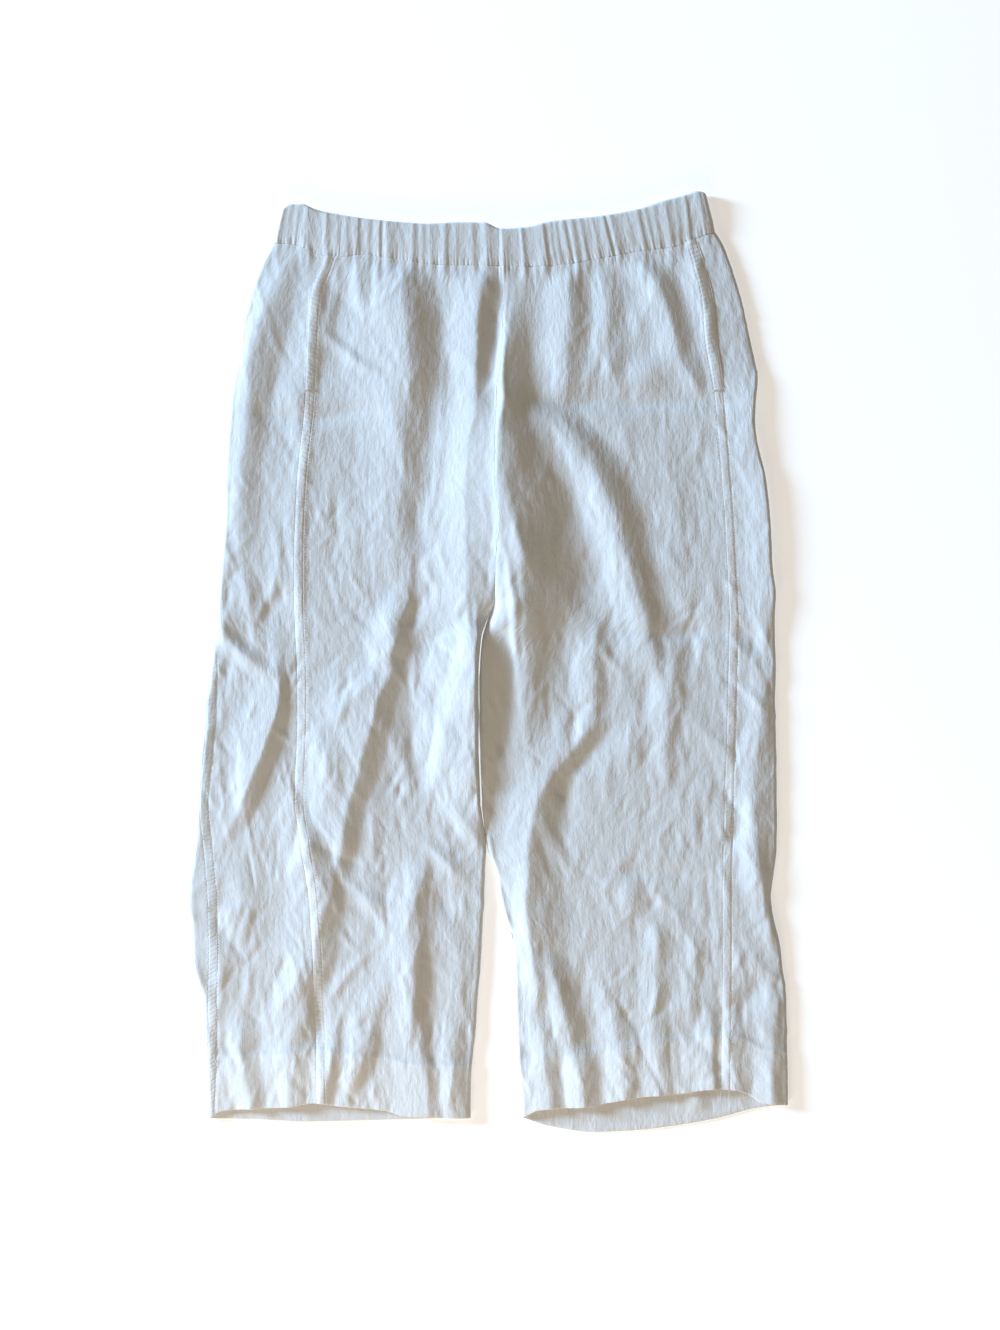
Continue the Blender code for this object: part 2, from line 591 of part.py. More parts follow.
clear_scene()
pants = new_collection("Capri pants")
linen_finish = new_material("linen", LINEN)
pocketing_finish = new_material("pocketing", POCKETING)
for leg in (WEARER_RIGHT, WEARER_LEFT):
    leg_pieces(leg, linen_finish, pocketing_finish, pants)
waistband(linen_finish, pants)
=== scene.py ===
"""Wide-leg pull-on capri pants of washed white linen, laid flat on their back with the front up."""
import bpy
import numpy as np
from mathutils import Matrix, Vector


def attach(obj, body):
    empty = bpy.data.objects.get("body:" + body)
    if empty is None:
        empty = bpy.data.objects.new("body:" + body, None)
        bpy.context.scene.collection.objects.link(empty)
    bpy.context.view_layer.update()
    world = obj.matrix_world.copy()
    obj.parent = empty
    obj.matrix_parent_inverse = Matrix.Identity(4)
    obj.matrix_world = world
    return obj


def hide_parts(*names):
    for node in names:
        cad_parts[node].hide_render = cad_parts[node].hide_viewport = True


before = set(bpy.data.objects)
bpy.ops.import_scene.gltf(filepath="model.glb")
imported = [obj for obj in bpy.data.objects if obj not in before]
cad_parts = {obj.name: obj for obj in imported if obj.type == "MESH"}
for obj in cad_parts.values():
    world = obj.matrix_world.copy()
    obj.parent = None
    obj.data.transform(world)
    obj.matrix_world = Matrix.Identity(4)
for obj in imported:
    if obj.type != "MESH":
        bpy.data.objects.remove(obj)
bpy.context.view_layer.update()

# ------------------------------------------------------------------------------
# The two legs as they lie. Each is a tube of plain-weave linen pressed flat: a place on it is a station y, a
# layer (over the top or underneath) and a way in from the outer fold. Above the crotch the tube is open at
# the centre seams, and below it the inner fold closes it. The front panels, side panels and backs are
# stretches of this tube, and everything that lies on them follows it too.
# ------------------------------------------------------------------------------
MM = 0.001
CLOTH = 0.0007  # wall of the linen
SEAM_GAP = WAIST_GAP = 0.0001
LEG_GAP = 0.0004
HEM_DEPTH = 0.052
FLOOR_LAYER = 0.00055  # height of the bottom layer's middle
TOP_LAYER = 0.0052
LOWEST_TOP = 0.0026  # the top layer sinks no lower than this over the bottom one
HEM_RISE = 0.0010
FOLD_HEIGHT, HEM_FOLD_HEIGHT = 0.0026, 0.0037  # height of a leg's folded edges
TOP_ROUND, FLOOR_ROUND = 0.0036, 0.0030  # how round each layer is at a fold
MOUTH_RISE, MOUTH_REACH = 0.0014, 0.150  # how far the open hem arches up, and how far up the leg that reaches
EDGE_CALM = 0.009  # creases die out this near a fold
RAISED = {  # station, and how far a leg's inner fold stands up against the other leg's below the crotch
    "right": (
        (0.048, 0.0), (0.030, 0.0040), (0.005, 0.0062), (-0.070, 0.0066), (-0.120, 0.0056), (-0.155, 0.0036),
        (-0.185, 0.0),
    ),
    "left": ((0.048, 0.0), (0.030, 0.0020), (0.005, 0.0036), (-0.070, 0.0036), (-0.130, 0.0020), (-0.180, 0.0)),
}
RAISED_REACH = 0.045
ROLLED = {  # station, and how far a leg's outer fold stands up as a soft roll
    "right": ((0.10, 0.0), (0.00, 0.0), (-0.10, 0.0010), (-0.20, 0.0)),
    "left": ((0.31, 0.0), (0.25, 0.0030), (0.15, 0.0040), (0.07, 0.0030), (0.02, 0.0)),
}
ROLLED_REACH = 0.034


def columns(names, *rows):
    """A table of rows as named columns."""
    return dict(zip(names.split(), np.array(rows, float).T))


def millimetres(names, *rows):
    """A table of rows in millimetres as named columns in metres."""
    return {name: column / 1000.0 for name, column in columns(names, *rows).items()}


# A leg at each station y: its outer edge, its inner edge and its forward side seam.
WEARER_RIGHT = {"name": "right", "side": -1.0} | millimetres(
    "y outer inner seam",
    (430, -211, 15, -152), (418.5, -216, 15, -157), (394.5, -228, 15, -166), (362.5, -239, 15, -177),
    (322.5, -248, 14.5, -180), (262.5, -257, 8, -183), (182.5, -263, 6.5, -191), (142.5, -263.5, 12, -193),
    (102.5, -267, 7.5, -194), (62.5, -270, 7, -194), (42.5, -271, -1, -193.5), (22.5, -273, -6.5, -192.5),
    (-17.5, -279, -9, -191), (-57.5, -283.5, -9, -191), (-137.5, -290, -7, -193.5), (-182.5, -293.5, -2, -187),
    (-237.5, -300, -3.5, -179), (-260, -297, -4.5, -177.5), (-297.5, -295, -6.5, -175),
    (-337.5, -286, -10, -174), (-377.5, -283, -13, -172), (-417.5, -281, -16.5, -171.5),
    (-460, -280, -17, -171),
)
WEARER_LEFT = {"name": "left", "side": 1.0} | millimetres(
    "y outer inner seam",
    (430, 228, 15, 205.5), (418.5, 235, 15, 209), (394.5, 244, 15, 215.5), (362.5, 254, 15, 223),
    (322.5, 263, 14.5, 226.5), (282.5, 270, 10, 233.5), (262.5, 268, 8, 236.5), (242.5, 267, 7.5, 238),
    (182.5, 278, 6.5, 243), (142.5, 282, 12, 246), (102.5, 284, 7.5, 248), (62.5, 287, 7, 250),
    (42.5, 287, -1, 251), (22.5, 287, -6.5, 250.5), (-17.5, 287, -9, 249.5), (-57.5, 288, -9, 248.5),
    (-137.5, 289, -7, 246), (-182.5, 289, -1, 245), (-217.5, 285, 9.5, 244), (-237.5, 283, 12, 244),
    (-277.5, 291, 23.5, 244), (-297.5, 294, 26, 244), (-337.5, 298, 27, 243.5), (-377.5, 299, 28, 243),
    (-417.5, 300, 31, 242), (-460, 300, 34.5, 241.5),
)
INNER_EDGE = columns(  # how round it is, from a seam to a fold, and how far the front wraps under it
    "y round wrap",
    (0.4300, 0.0, 0.0), (0.1025, 0.0, 0.0), (0.0625, 0.2, 0.0), (0.0425, 0.8, 0.0), (0.0225, 1.0, 0.004),
    (-0.0175, 1.0, 0.009), (-0.4600, 1.0, 0.009),
)
SIDE_WIDTH = columns(
    "y width", (0.42, 0.088), (0.25, 0.084), (0.10, 0.080), (0.01, 0.079), (-0.24, 0.092), (-0.46, 0.102)
)
WAIST = millimetres(
    "low_x low_y top_x top_y",
    (-215, 419, -205.5, 452), (-203, 419, -198, 457.5), (-190, 416.5, -185, 457.5), (-178, 411, -174, 453),
    (-164, 406.8, -160, 449), (-145, 405.8, -142, 446), (-128, 407.8, -126, 443.7), (-95, 403.5, -94, 440.3),
    (-60, 398.5, -60, 438.2), (-30, 397, -30, 439.6), (0, 396.7, -3, 439), (13, 396.5, 12, 433.2),
    (40, 395.8, 35, 434.5), (72, 397.5, 62, 440.5), (120, 405.5, 110, 445.7), (160, 412.5, 150, 453),
    (183, 415, 175, 461.2), (200, 421.5, 196, 466.8), (216, 427, 209, 470.4), (227, 430, 217, 469),
)
BACK_WAIST_DIP = (0.006, 0.3955)  # lowest place of the back's waist seam
HEMS = {
    "front_right": millimetres(
        "x y",
        (-280, -456.5), (-265, -447.8), (-198, -443.5), (-176, -439.8), (-145, -443.5), (-104, -447.5),
        (-79, -453.5), (-17, -455.5),
    ),
    "back_right": millimetres(
        "x y",
        (-280, -456.5), (-237, -457), (-186, -459.5), (-98, -457.5), (-17, -455.5),
    ),
    "front_left": millimetres(
        "x y",
        (34, -455.5), (53, -446.5), (93, -444), (149, -434.5), (193, -430.5), (226, -426.2), (247, -427),
        (262, -432.5), (274, -440), (300, -442.5),
    ),
    "back_left": millimetres(
        "x y",
        (34, -455.5), (63, -464.5), (107, -470), (144, -468.5), (223, -457.5), (274, -445), (300, -442.5),
    ),
}


def smooth(share):
    """Smooth step: 0 below 0, 1 above 1, with level ends."""
    share = np.clip(share, 0.0, 1.0)
    return share * share * (3.0 - 2.0 * share)


def bell(away, width):
    """1 in the middle, and a bell curve of the distance over the width."""
    return np.exp(-((away / width) ** 2))


def unit(vectors):
    return vectors / np.linalg.norm(vectors, axis=-1, keepdims=True)


def curve(at, stations, values):
    """Cubic through the rows of a table, whose slopes are harmonic means, so that it never overshoots."""
    if stations[0] > stations[-1]:
        stations, values = stations[::-1], values[::-1]
    step = np.diff(stations)
    slope = np.diff(values) / step
    same_way = slope[:-1] * slope[1:] > 0.0
    total = np.where(same_way, slope[:-1] + slope[1:], 1.0)
    inner = np.where(same_way, 2.0 * slope[:-1] * slope[1:] / total, 0.0)
    tangent = np.concatenate(([slope[0]], inner, [slope[-1]]))
    at = np.clip(at, stations[0], stations[-1])
    i = np.clip(np.searchsorted(stations, at) - 1, 0, len(step) - 1)
    t = (at - stations[i]) / step[i]
    bend = t * (1.0 - t) ** 2 * tangent[i] - t * t * (1.0 - t) * tangent[i + 1]
    return values[i] + (values[i + 1] - values[i]) * smooth(t) + bend * step[i]


# Creases of the top layer, a row for each station down a crest, in millimetres: its place, its height, and
# how far its flanks reach to the wearer's right and left. The number before the rows is how crisp it is.
FOLDS = (
    # wearer's right hip and front
    (0.2, (-198, 405, 1, 16, 20), (-218, 362, 3.2, 22, 34), (-230, 325, 4.2, 22, 36),
     (-237, 290, 3.8, 20, 30), (-243, 230, 2.8, 18, 24), (-248, 150, 2, 16, 24), (-252, 90, 0, 14, 18)),
    (0.2, (-164, 402, 1, 26, 12), (-172, 360, 2.4, 30, 12), (-178, 310, 2.4, 30, 18),
     (-186, 240, 1.4, 26, 16), (-190, 160, 1.4, 22, 14), (-192, 80, 1, 20, 12), (-193, 10, 0, 16, 12)),
    (0.4, (-146, 402, 1, 12, 10), (-160, 350, 1.2, 12, 10), (-165, 290, 0, 9, 8)),
    (0.8, (-171, 333, 0, 10, 9), (-150, 316, 1.5, 12, 9), (-130, 301, 1.5, 12, 9), (-98, 285, 0, 10, 9)),
    (0.4, (-127, 402, 1.8, 14, 12), (-128, 375, 1.8, 14, 12), (-124, 345, 0, 8, 9)),
    (0.4, (-86, 402, 3.6, 54, 34), (-84, 375, 6, 66, 36), (-82, 340, 8, 72, 38), (-80, 290, 8, 72, 40),
     (-82, 250, 5.8, 66, 38), (-86, 200, 3.4, 50, 32), (-90, 150, 2.8, 44, 28), (-92, 110, 1.8, 34, 26),
     (-94, 80, 0, 20, 20)),
    (0.4, (-8, 402, 3.4, 36, 19), (-9, 350, 5.8, 38, 20), (-12, 300, 6.8, 40, 21), (-15, 250, 6.8, 44, 22),
     (-20, 200, 6, 46, 28), (-23, 150, 6, 50, 29), (-22, 100, 6, 52, 28), (-20, 55, 5.4, 54, 26),
     (-16, 20, 4, 52, 22), (-14, -15, 2.6, 48, 20), (-12, -60, 0, 40, 16)),
    (0.2, (4, 285, 0, 40, 50), (2, 250, 3, 44, 60), (4, 200, 5.6, 50, 76), (6, 150, 6.8, 54, 86),
     (8, 100, 7.2, 56, 88), (10, 55, 6.4, 56, 80), (8, 20, 4.6, 50, 66), (4, -15, 2.4, 44, 50),
     (0, -60, 0, 40, 30)),
    (0.75, (-70, 128, 0, 20, 5), (-74, 100, 0.8, 22, 6), (-80, 66, 1.8, 24, 10), (-88, 40, 3.8, 32, 14),
     (-97, 18, 4.6, 36, 18), (-106, 4, 4, 34, 19), (-117, -5, 0, 18, 12)),
    (0.4, (-212, 155, 0, 10, 8), (-210, 110, 1, 10, 8), (-209, 60, 0, 8, 8)),
    (0.6, (-249, 105, 0, 9, 8), (-240, 65, 1.4, 10, 8), (-236, 32, 0, 8, 7)),
    (0.6, (-208, 95, 0, 9, 8), (-222, 62, 1.4, 10, 8), (-234, 34, 0, 8, 6)),
    # wearer's right leg
    (0.75, (-88, 3, 0, 24, 10), (-97, -14, 4, 42, 16), (-110, -40, 5.4, 66, 18), (-119, -70, 5.8, 80, 19),
     (-128, -100, 5.6, 80, 20), (-136, -132, 5.2, 70, 19), (-142, -160, 4.6, 56, 18),
     (-149, -195, 3.8, 36, 16), (-157, -225, 1.8, 20, 13), (-166, -255, 0, 16, 10)),
    (0.75, (-214, 12, 0, 18, 8), (-208, -16, 3.2, 30, 11), (-212, -45, 4.4, 40, 13), (-224, -85, 5, 44, 16),
     (-241, -130, 4.6, 42, 16), (-255, -158, 2.4, 28, 13), (-272, -186, 0, 14, 10)),
    (0.5, (-272, 40, 1, 12, 12), (-262, 27, 3, 16, 14), (-240, 6, 3.4, 18, 15), (-222, -6, 2, 14, 12),
     (-205, -12, 0, 10, 10)),
    (0.35, (-202, -118, 0, 18, 12), (-190, -158, 3, 26, 18), (-176, -200, 4.6, 34, 22),
     (-167, -240, 4.6, 44, 22), (-172, -290, 3.5, 46, 24), (-186, -340, 3.8, 40, 24),
     (-198, -390, 3.8, 28, 30), (-198, -450, 3.4, 26, 30)),
    (0.8, (-201, -275, 0, 8, 7), (-191, -308, 1.2, 9, 7), (-184, -342, 0, 8, 7)),
    (0.3, (-128, -225, 0, 20, 12), (-112, -240, 2, 22, 12), (-86, -252, 0, 18, 10)),
    (0.4, (-142, -330, 0, 12, 8), (-152, -370, 1.7, 18, 10), (-160, -410, 2.2, 20, 12),
     (-166, -450, 2.2, 18, 12)),
    (0.8, (-118, -288, 0, 8, 8), (-140, -315, 1.2, 10, 8), (-166, -342, 0, 8, 8)),
    (0.3, (-252, -335, 0, 14, 16), (-246, -385, 2.1, 18, 18), (-236, -450, 2.6, 20, 18)),
    (0.2, (-250, -195, 0, 20, 26), (-246, -250, 2.2, 24, 30), (-244, -310, 0, 22, 24)),
    (0.2, (-276, -250, 0, 14, 22), (-272, -300, 1.7, 14, 24), (-268, -350, 0, 14, 20)),
    (0.45, (-99, -300, 0, 18, 10), (-111, -345, 2.1, 24, 13), (-123, -385, 2.4, 24, 14),
     (-134, -415, 1.3, 18, 12), (-146, -450, 0, 12, 10)),
    (0.4, (-60, -190, 0, 22, 10), (-68, -222, 3.2, 30, 14), (-76, -255, 4.6, 36, 18),
     (-79, -295, 4.1, 40, 19), (-74, -345, 3.8, 44, 16), (-66, -390, 3.4, 44, 15), (-60, -450, 3, 40, 15)),
    (0.9, (-68, -173, 0, 9, 9), (-44, -196, 2, 11, 10), (-18, -222, 0, 9, 9)),
    (0.2, (-30, -200, 0.6, 30, 16), (-34, -260, 1, 30, 20), (-28, -330, 1.5, 24, 14),
     (-36, -400, 2.2, 22, 18), (-33, -455, 1.8, 22, 14)),
    # wearer's left hip and front
    (0.45, (26, 404, 0.6, 10, 20), (25, 370, 1.2, 12, 22), (22, 340, 3.6, 14, 25), (19, 310, 5.6, 18, 28),
     (16, 280, 7.8, 24, 33), (14, 250, 9.4, 30, 42), (14, 215, 9.8, 34, 56), (20, 180, 10, 42, 62),
     (26, 150, 9.6, 48, 62), (31, 110, 9, 50, 58), (34, 75, 8, 46, 54), (37, 45, 7.6, 30, 47),
     (38, 15, 6.2, 18, 38), (38, -15, 4.8, 15, 35), (34, -50, 3.4, 15, 33), (28, -95, 1.6, 15, 30),
     (22, -125, 0, 14, 26)),
    (0.6, (18, 404, 0.4, 6, 4), (18, 350, 0.6, 7, 4), (16, 300, 0.9, 8, 5), (12, 255, 1, 9, 6),
     (9, 215, 1, 9, 6), (12, 170, 0.8, 9, 7), (12, 130, 0.8, 9, 8), (10, 100, 0.6, 9, 8), (8, 60, 0, 8, 8)),
    (0.3, (78, 404, 2, 24, 20), (79, 370, 3.6, 28, 22), (79, 330, 3.8, 28, 24), (78, 290, 3, 26, 22),
     (76, 262, 1, 22, 20), (74, 240, 0, 18, 16)),
    (0.2, (117, 404, 1.5, 18, 14), (118, 350, 2.2, 20, 22), (118, 300, 1.6, 18, 22), (118, 272, 0, 14, 18)),
    (0.4, (150, 404, 2, 22, 18), (163, 388, 3.4, 26, 20), (178, 362, 4.4, 30, 20), (184, 332, 4.4, 32, 20),
     (190, 305, 3.4, 28, 20), (203, 282, 2, 20, 16), (214, 264, 0, 14, 12)),
    (0.3, (198, 410, 1.2, 14, 8), (211, 378, 2.4, 18, 8), (218, 348, 2.2, 18, 8), (222, 310, 1, 14, 8),
     (228, 270, 0, 12, 8)),
    (0.3, (140, 300, 0, 20, 24), (160, 290, 2, 26, 26), (186, 286, 0, 20, 20)),
    (0.3, (44, 264, 0, 14, 14), (58, 245, 3.6, 24, 22), (76, 226, 5.4, 34, 28), (94, 205, 6.6, 36, 30),
     (112, 178, 7, 38, 30), (126, 146, 7, 38, 28), (137, 112, 6.8, 36, 28), (146, 80, 6.2, 36, 26),
     (154, 52, 5.2, 36, 22), (160, 26, 3.8, 34, 16), (165, -2, 2.6, 30, 13), (169, -36, 0, 24, 12)),
    (0.3, (182, 22, 0, 18, 14), (183, -12, 2.6, 24, 16), (180, -48, 3, 26, 18), (179, -85, 2.2, 22, 16),
     (176, -125, 0, 16, 14)),
    (0.3, (108, 50, 0, 18, 14), (106, 10, 2.6, 24, 16), (106, -30, 3, 24, 16), (105, -50, 1.2, 18, 12),
     (103, -68, 0, 12, 10)),
    (0.2, (279, 60, 0, 22, 10), (276, 20, 1.4, 22, 14), (272, -50, 2, 20, 18), (268, -110, 2.6, 22, 22),
     (266, -160, 2.6, 22, 24), (270, -200, 1.6, 20, 20), (276, -240, 0, 16, 12)),
    (0.9, (247, -21, 0, 9, 9), (266, -39, 1.5, 10, 10), (284, -55, 0, 9, 9)),
    (0.9, (13, 124, 0, 5, 6), (20, 86, 1.8, 6, 7), (26, 48, 2.2, 6, 7), (29, 3, 2, 6, 7), (30, -45, 0, 5, 6)),
    (0.7, (-4, 46, 0, 6, 6), (8, 42, 1.6, 7, 7), (23, 36, 0, 6, 6)),
    # wearer's left leg
    (0.8, (120, -50, 0, 24, 10), (106, -64, 2.4, 34, 14), (90, -80, 4, 46, 18), (72, -100, 5, 52, 21),
     (58, -125, 5.6, 50, 23), (47, -152, 5.4, 44, 25), (41, -178, 5.6, 38, 28), (38, -205, 5.8, 30, 32),
     (37, -230, 6, 24, 37), (40, -255, 5.8, 20, 41), (44, -290, 5.4, 18, 38), (48, -320, 4.4, 20, 32),
     (52, -350, 0, 18, 24)),
    (0.3, (44, -300, 0, 14, 16), (47, -335, 2.1, 18, 14), (52, -375, 2.9, 22, 15), (60, -415, 3.4, 26, 16),
     (66, -455, 3.4, 28, 15)),
    (0.35, (62, -285, 0, 16, 18), (70, -325, 3.6, 20, 22), (80, -370, 4.6, 24, 23), (90, -410, 4.6, 24, 22),
     (98, -450, 4, 24, 20)),
    (0.35, (116, -292, 0, 16, 14), (121, -335, 1.7, 20, 18), (130, -380, 2.6, 22, 22),
     (136, -440, 2.9, 24, 22)),
    (0.4, (166, -248, 0, 16, 12), (168, -310, 1.7, 20, 15), (168, -370, 1.8, 20, 15),
     (169, -440, 2.1, 22, 16)),
    (0.6, (222, -340, 0, 28, 8), (225, -385, 2.4, 34, 8), (225, -430, 2.4, 34, 8)),
    (0.3, (243, -320, 0, 12, 18), (243, -370, 1.8, 12, 22), (245, -435, 2.2, 14, 22)),
    (0.2, (280, -300, 0, 20, 12), (284, -370, 2.2, 24, 14), (286, -440, 2.6, 24, 14)),
    (0.3, (140, -205, 0, 18, 16), (141, -232, 1.8, 20, 18), (140, -262, 0, 18, 16)),
    (0.4, (243, -172, 0, 16, 12), (257, -190, 2.2, 22, 16), (270, -215, 3, 26, 17), (284, -255, 2.6, 26, 14),
     (291, -300, 0, 18, 10)),
    # lines left across the cloth by packing
    (0.9, (-258, 256, 0, 12, 12), (-210, 244, -1.7, 14, 14), (-150, 247, -1.7, 14, 14),
     (-78, 256, 0, 12, 12)),
    (0.9, (-272, -235, 0, 9, 9), (-254, -239, -1.5, 12, 12), (-235, -243, 0, 9, 9)),
    (0.9, (-150, -245, 0, 9, 9), (-115, -249, -1.5, 12, 12), (-80, -253, 0, 9, 9)),
    (0.9, (57, 262, 0, 12, 16), (110, 259, -2.4, 14, 22), (190, 260, -2.4, 14, 24), (267, 262, 0, 12, 12)),
    (0.9, (112, 31, 0, 10, 12), (170, 29, -1.6, 12, 14), (230, 30, -1.6, 12, 14), (282, 31, 0, 10, 10)),
    (0.9, (111, -209, 0, 9, 9), (160, -211, -1.5, 12, 12), (235, -212, 0, 9, 9)),
)
LEG_FOLDS = {  # those of one leg only, along inner folds that press each other up below the crotch
    "right": (
        (0.2, (-16, 48, 0, 40, 12), (-10, 28, 5, 60, 12), (-9, 0, 9.6, 70, 12), (-9, -60, 11.4, 76, 12),
         (-8, -110, 10, 66, 12), (-7, -150, 5, 54, 12), (-5, -190, 0, 40, 12)),
    ),
    "left": (
        (0.3, (-12, 50, 0, 20, 24), (-9, 28, 2, 20, 30), (-9, 0, 3, 20, 36), (-9, -60, 3, 20, 40),
         (-8, -110, 2.4, 20, 36), (-7, -150, 1.2, 20, 30), (-5, -185, 0, 20, 30)),
    ),
}
BACK_FOLDS = (  # the same for the bottom layer, up off the surface along the hidden back
    (0.3, (-150, 385, 1, 12, 14), (-156, 300, 1.8, 14, 16), (-168, 190, 1.2, 12, 16), (-172, 110, 0, 10, 12)),
    (0.3, (-40, 380, 1.2, 12, 12), (-52, 290, 2, 16, 14), (-60, 180, 1.4, 14, 14), (-58, 90, 0, 12, 12)),
    (0.3, (70, 385, 1, 14, 12), (82, 300, 1.8, 16, 14), (100, 200, 1.6, 16, 14), (128, 90, 0, 12, 12)),
    (0.4, (-230, 60, 0, 12, 12), (-190, 0, 1.6, 16, 14), (-150, -70, 1.8, 16, 16), (-120, -150, 0, 12, 12)),
    (0.3, (-90, -140, 0, 12, 12), (-96, -250, 1.4, 14, 16), (-84, -360, 1.8, 16, 14),
     (-88, -440, 1.2, 14, 14)),
    (0.4, (212, 20, 0, 12, 12), (180, -70, 1.8, 18, 14), (150, -170, 1.4, 16, 14), (132, -260, 0, 12, 12)),
    (0.3, (220, -230, 0, 12, 14), (206, -320, 1.6, 14, 16), (210, -440, 1.8, 16, 14)),
)
CREST_STEPS = 5  # steps along a crest between two stations
RIGHT_POWER, LEFT_POWER = 1.5, 1.1  # how hollow a crisp flank is on each side; 1 is straight


def ridge(crisp, rows, x, y):
    """Height of one crease, full on its crest and none past its flanks. A soft flank is a smooth step of the
    distance from the crest, and a crisp one is a power of it, straighter towards the wearer's left."""
    rows = np.array(rows, float) * MM
    at = np.arange(len(rows), dtype=float)
    fine = np.linspace(0.0, len(rows) - 1.0, (len(rows) - 1) * CREST_STEPS + 1)
    crest = np.stack([curve(fine, at, rows[:, i]) for i in range(5)], axis=-1)
    margin = rows[:, 3:].max()
    low = crest[:, :2].min(axis=0) - margin
    high = crest[:, :2].max(axis=0) + margin
    near = (x > low[0]) & (x < high[0]) & (y > low[1]) & (y < high[1])
    px, py = x[near], y[near]
    away = np.full(px.shape, np.inf)
    across = np.zeros(px.shape)
    sizes = np.zeros((3,) + px.shape)
    for start, end in zip(crest[:-1], crest[1:]):
        run = end[:2] - start[:2]
        length = np.hypot(*run)
        dx, dy = px - start[0], py - start[1]
        share = np.clip((dx * run[0] + dy * run[1]) / length**2, 0.0, 1.0)
        distance = np.hypot(dx - share * run[0], dy - share * run[1])
        nearer = distance < away
        away = np.where(nearer, distance, away)
        across = np.where(nearer, dy * run[0] - dx * run[1], across)
        sizes = np.where(nearer, start[2:, None] + (end - start)[2:, None] * share, sizes)
    height, right, left = sizes
    part = np.clip(away / np.where(across > 0.0, left, right), 0.0, 1.0)
    power = np.where(across > 0.0, LEFT_POWER, RIGHT_POWER)
    profile = (1.0 - crisp) * (1.0 - smooth(part)) + crisp * (1.0 - part) ** power
    total = np.zeros(x.shape)
    total[near] = height * profile
    return total


# Small crumples all over the washed cloth: short creases, mostly upright, that differ in size and lean. The
# hips are crumpled less than the legs.
CRUMPLE_CELL = 0.0011
CRUMPLE_BOX = ((-0.62, 0.62), (-0.50, 0.46))
CRUMPLES = columns(
    "count short long narrow wide low high lean",
    (360, 0.050, 0.140, 0.0120, 0.0260, 0.00070, 0.00210, 0.40),
    (3000, 0.024, 0.075, 0.0038, 0.0085, 0.00024, 0.00085, 0.42),
    (9000, 0.014, 0.038, 0.0026, 0.0044, 0.00009, 0.00030, 0.60),
)


HIP_CALM = 0.45


def cells_near(middle, reach, start, count):
    """Numbers of the map's cells within reach of a middle, one way across it."""
    low = max(int((middle - reach - start) / CRUMPLE_CELL), 0)
    return np.arange(low, min(int((middle + reach - start) / CRUMPLE_CELL), count))


def crumple_map():
    """Height map of the crumples over the unrolled cloth. Each is a ridge or trough, crisp or soft across, as
    a crease is, and a smooth step along, down to its ends."""
    random = np.random.default_rng(11)
    (x0, x1), (y0, y1) = CRUMPLE_BOX
    cells = np.zeros((int((y1 - y0) / CRUMPLE_CELL) + 2, int((x1 - x0) / CRUMPLE_CELL) + 2))
    for count, short, long, narrow, wide, low, high, lean in zip(*CRUMPLES.values()):
        for _ in range(int(count)):
            cx, cy = random.uniform(x0, x1), random.uniform(y0, y1)
            half_length = random.uniform(short, long) / 2.0
            width = random.uniform(narrow, wide)
            height = random.uniform(low, high) * random.choice((-1.0, 1.0))
            height *= 1.0 - HIP_CALM * smooth((cy - 0.05) / 0.15)
            angle = random.normal(0.0, lean)
            crisp = random.uniform(0.3, 1.0)
            reach = half_length + width
            i = cells_near(cy, reach, y0, cells.shape[0])
            j = cells_near(cx, reach, x0, cells.shape[1])
            dy = (y0 + i * CRUMPLE_CELL - cy)[:, None]
            dx = (x0 + j * CRUMPLE_CELL - cx)[None, :]
            along = np.abs(dy * np.cos(angle) + dx * np.sin(angle)) / half_length
            part = np.clip(np.abs(dx * np.cos(angle) - dy * np.sin(angle)) / width, 0.0, 1.0)
            profile = (1.0 - crisp) * (1.0 - smooth(part)) + crisp * (1.0 - part) ** 2
            cells[np.ix_(i, j)] += height * profile * (1.0 - smooth(along))
    return cells


CRUMPLE_HEIGHTS = crumple_map()


def crumple(x, y):
    """The crumple map read between its cells."""
    (x0, _), (y0, _) = CRUMPLE_BOX
    across = np.clip((x - x0) / CRUMPLE_CELL, 0.0, CRUMPLE_HEIGHTS.shape[1] - 1.001)
    down = np.clip((y - y0) / CRUMPLE_CELL, 0.0, CRUMPLE_HEIGHTS.shape[0] - 1.001)
    j, i = across.astype(int), down.astype(int)
    s, t = across - j, down - i
    low, high = (CRUMPLE_HEIGHTS[row, j] * (1.0 - s) + CRUMPLE_HEIGHTS[row, j + 1] * s for row in (i, i + 1))
    return low * (1.0 - t) + high * t


def outline(leg, y):
    """Outer edge of the wall's middle, how round the inner edge is, and the leg's width."""
    round_edge = curve(y, INNER_EDGE["y"], INNER_EDGE["round"])
    outer = curve(y, leg["y"], leg["outer"]) - leg["side"] * CLOTH / 2.0
    inset = SEAM_GAP / 2.0 + (CLOTH / 2.0 + LEG_GAP) * round_edge
    inner = curve(y, leg["y"], leg["inner"]) + leg["side"] * inset
    return outer, round_edge, np.abs(outer - inner)


def share_of_height(distance, width):
    """Share of a layer's full height reached a distance in from a fold that rounds over this width."""
    near = 1.0 - np.clip(distance / width, 0.0, 1.0)
    return np.sqrt(1.0 - near * near)


def way_round(over, distance):
    """The way round the outer fold to a place a distance in from it: over the top above 0, under it below."""
    rounding = np.where(over, TOP_ROUND, FLOOR_ROUND)
    angle = np.arccos(1.0 - np.clip(distance / rounding, 0.0, 1.0))
    way = np.where(distance < rounding, rounding * angle, distance + rounding * (np.pi / 2.0 - 1.0))
    return np.where(over, way, -way)


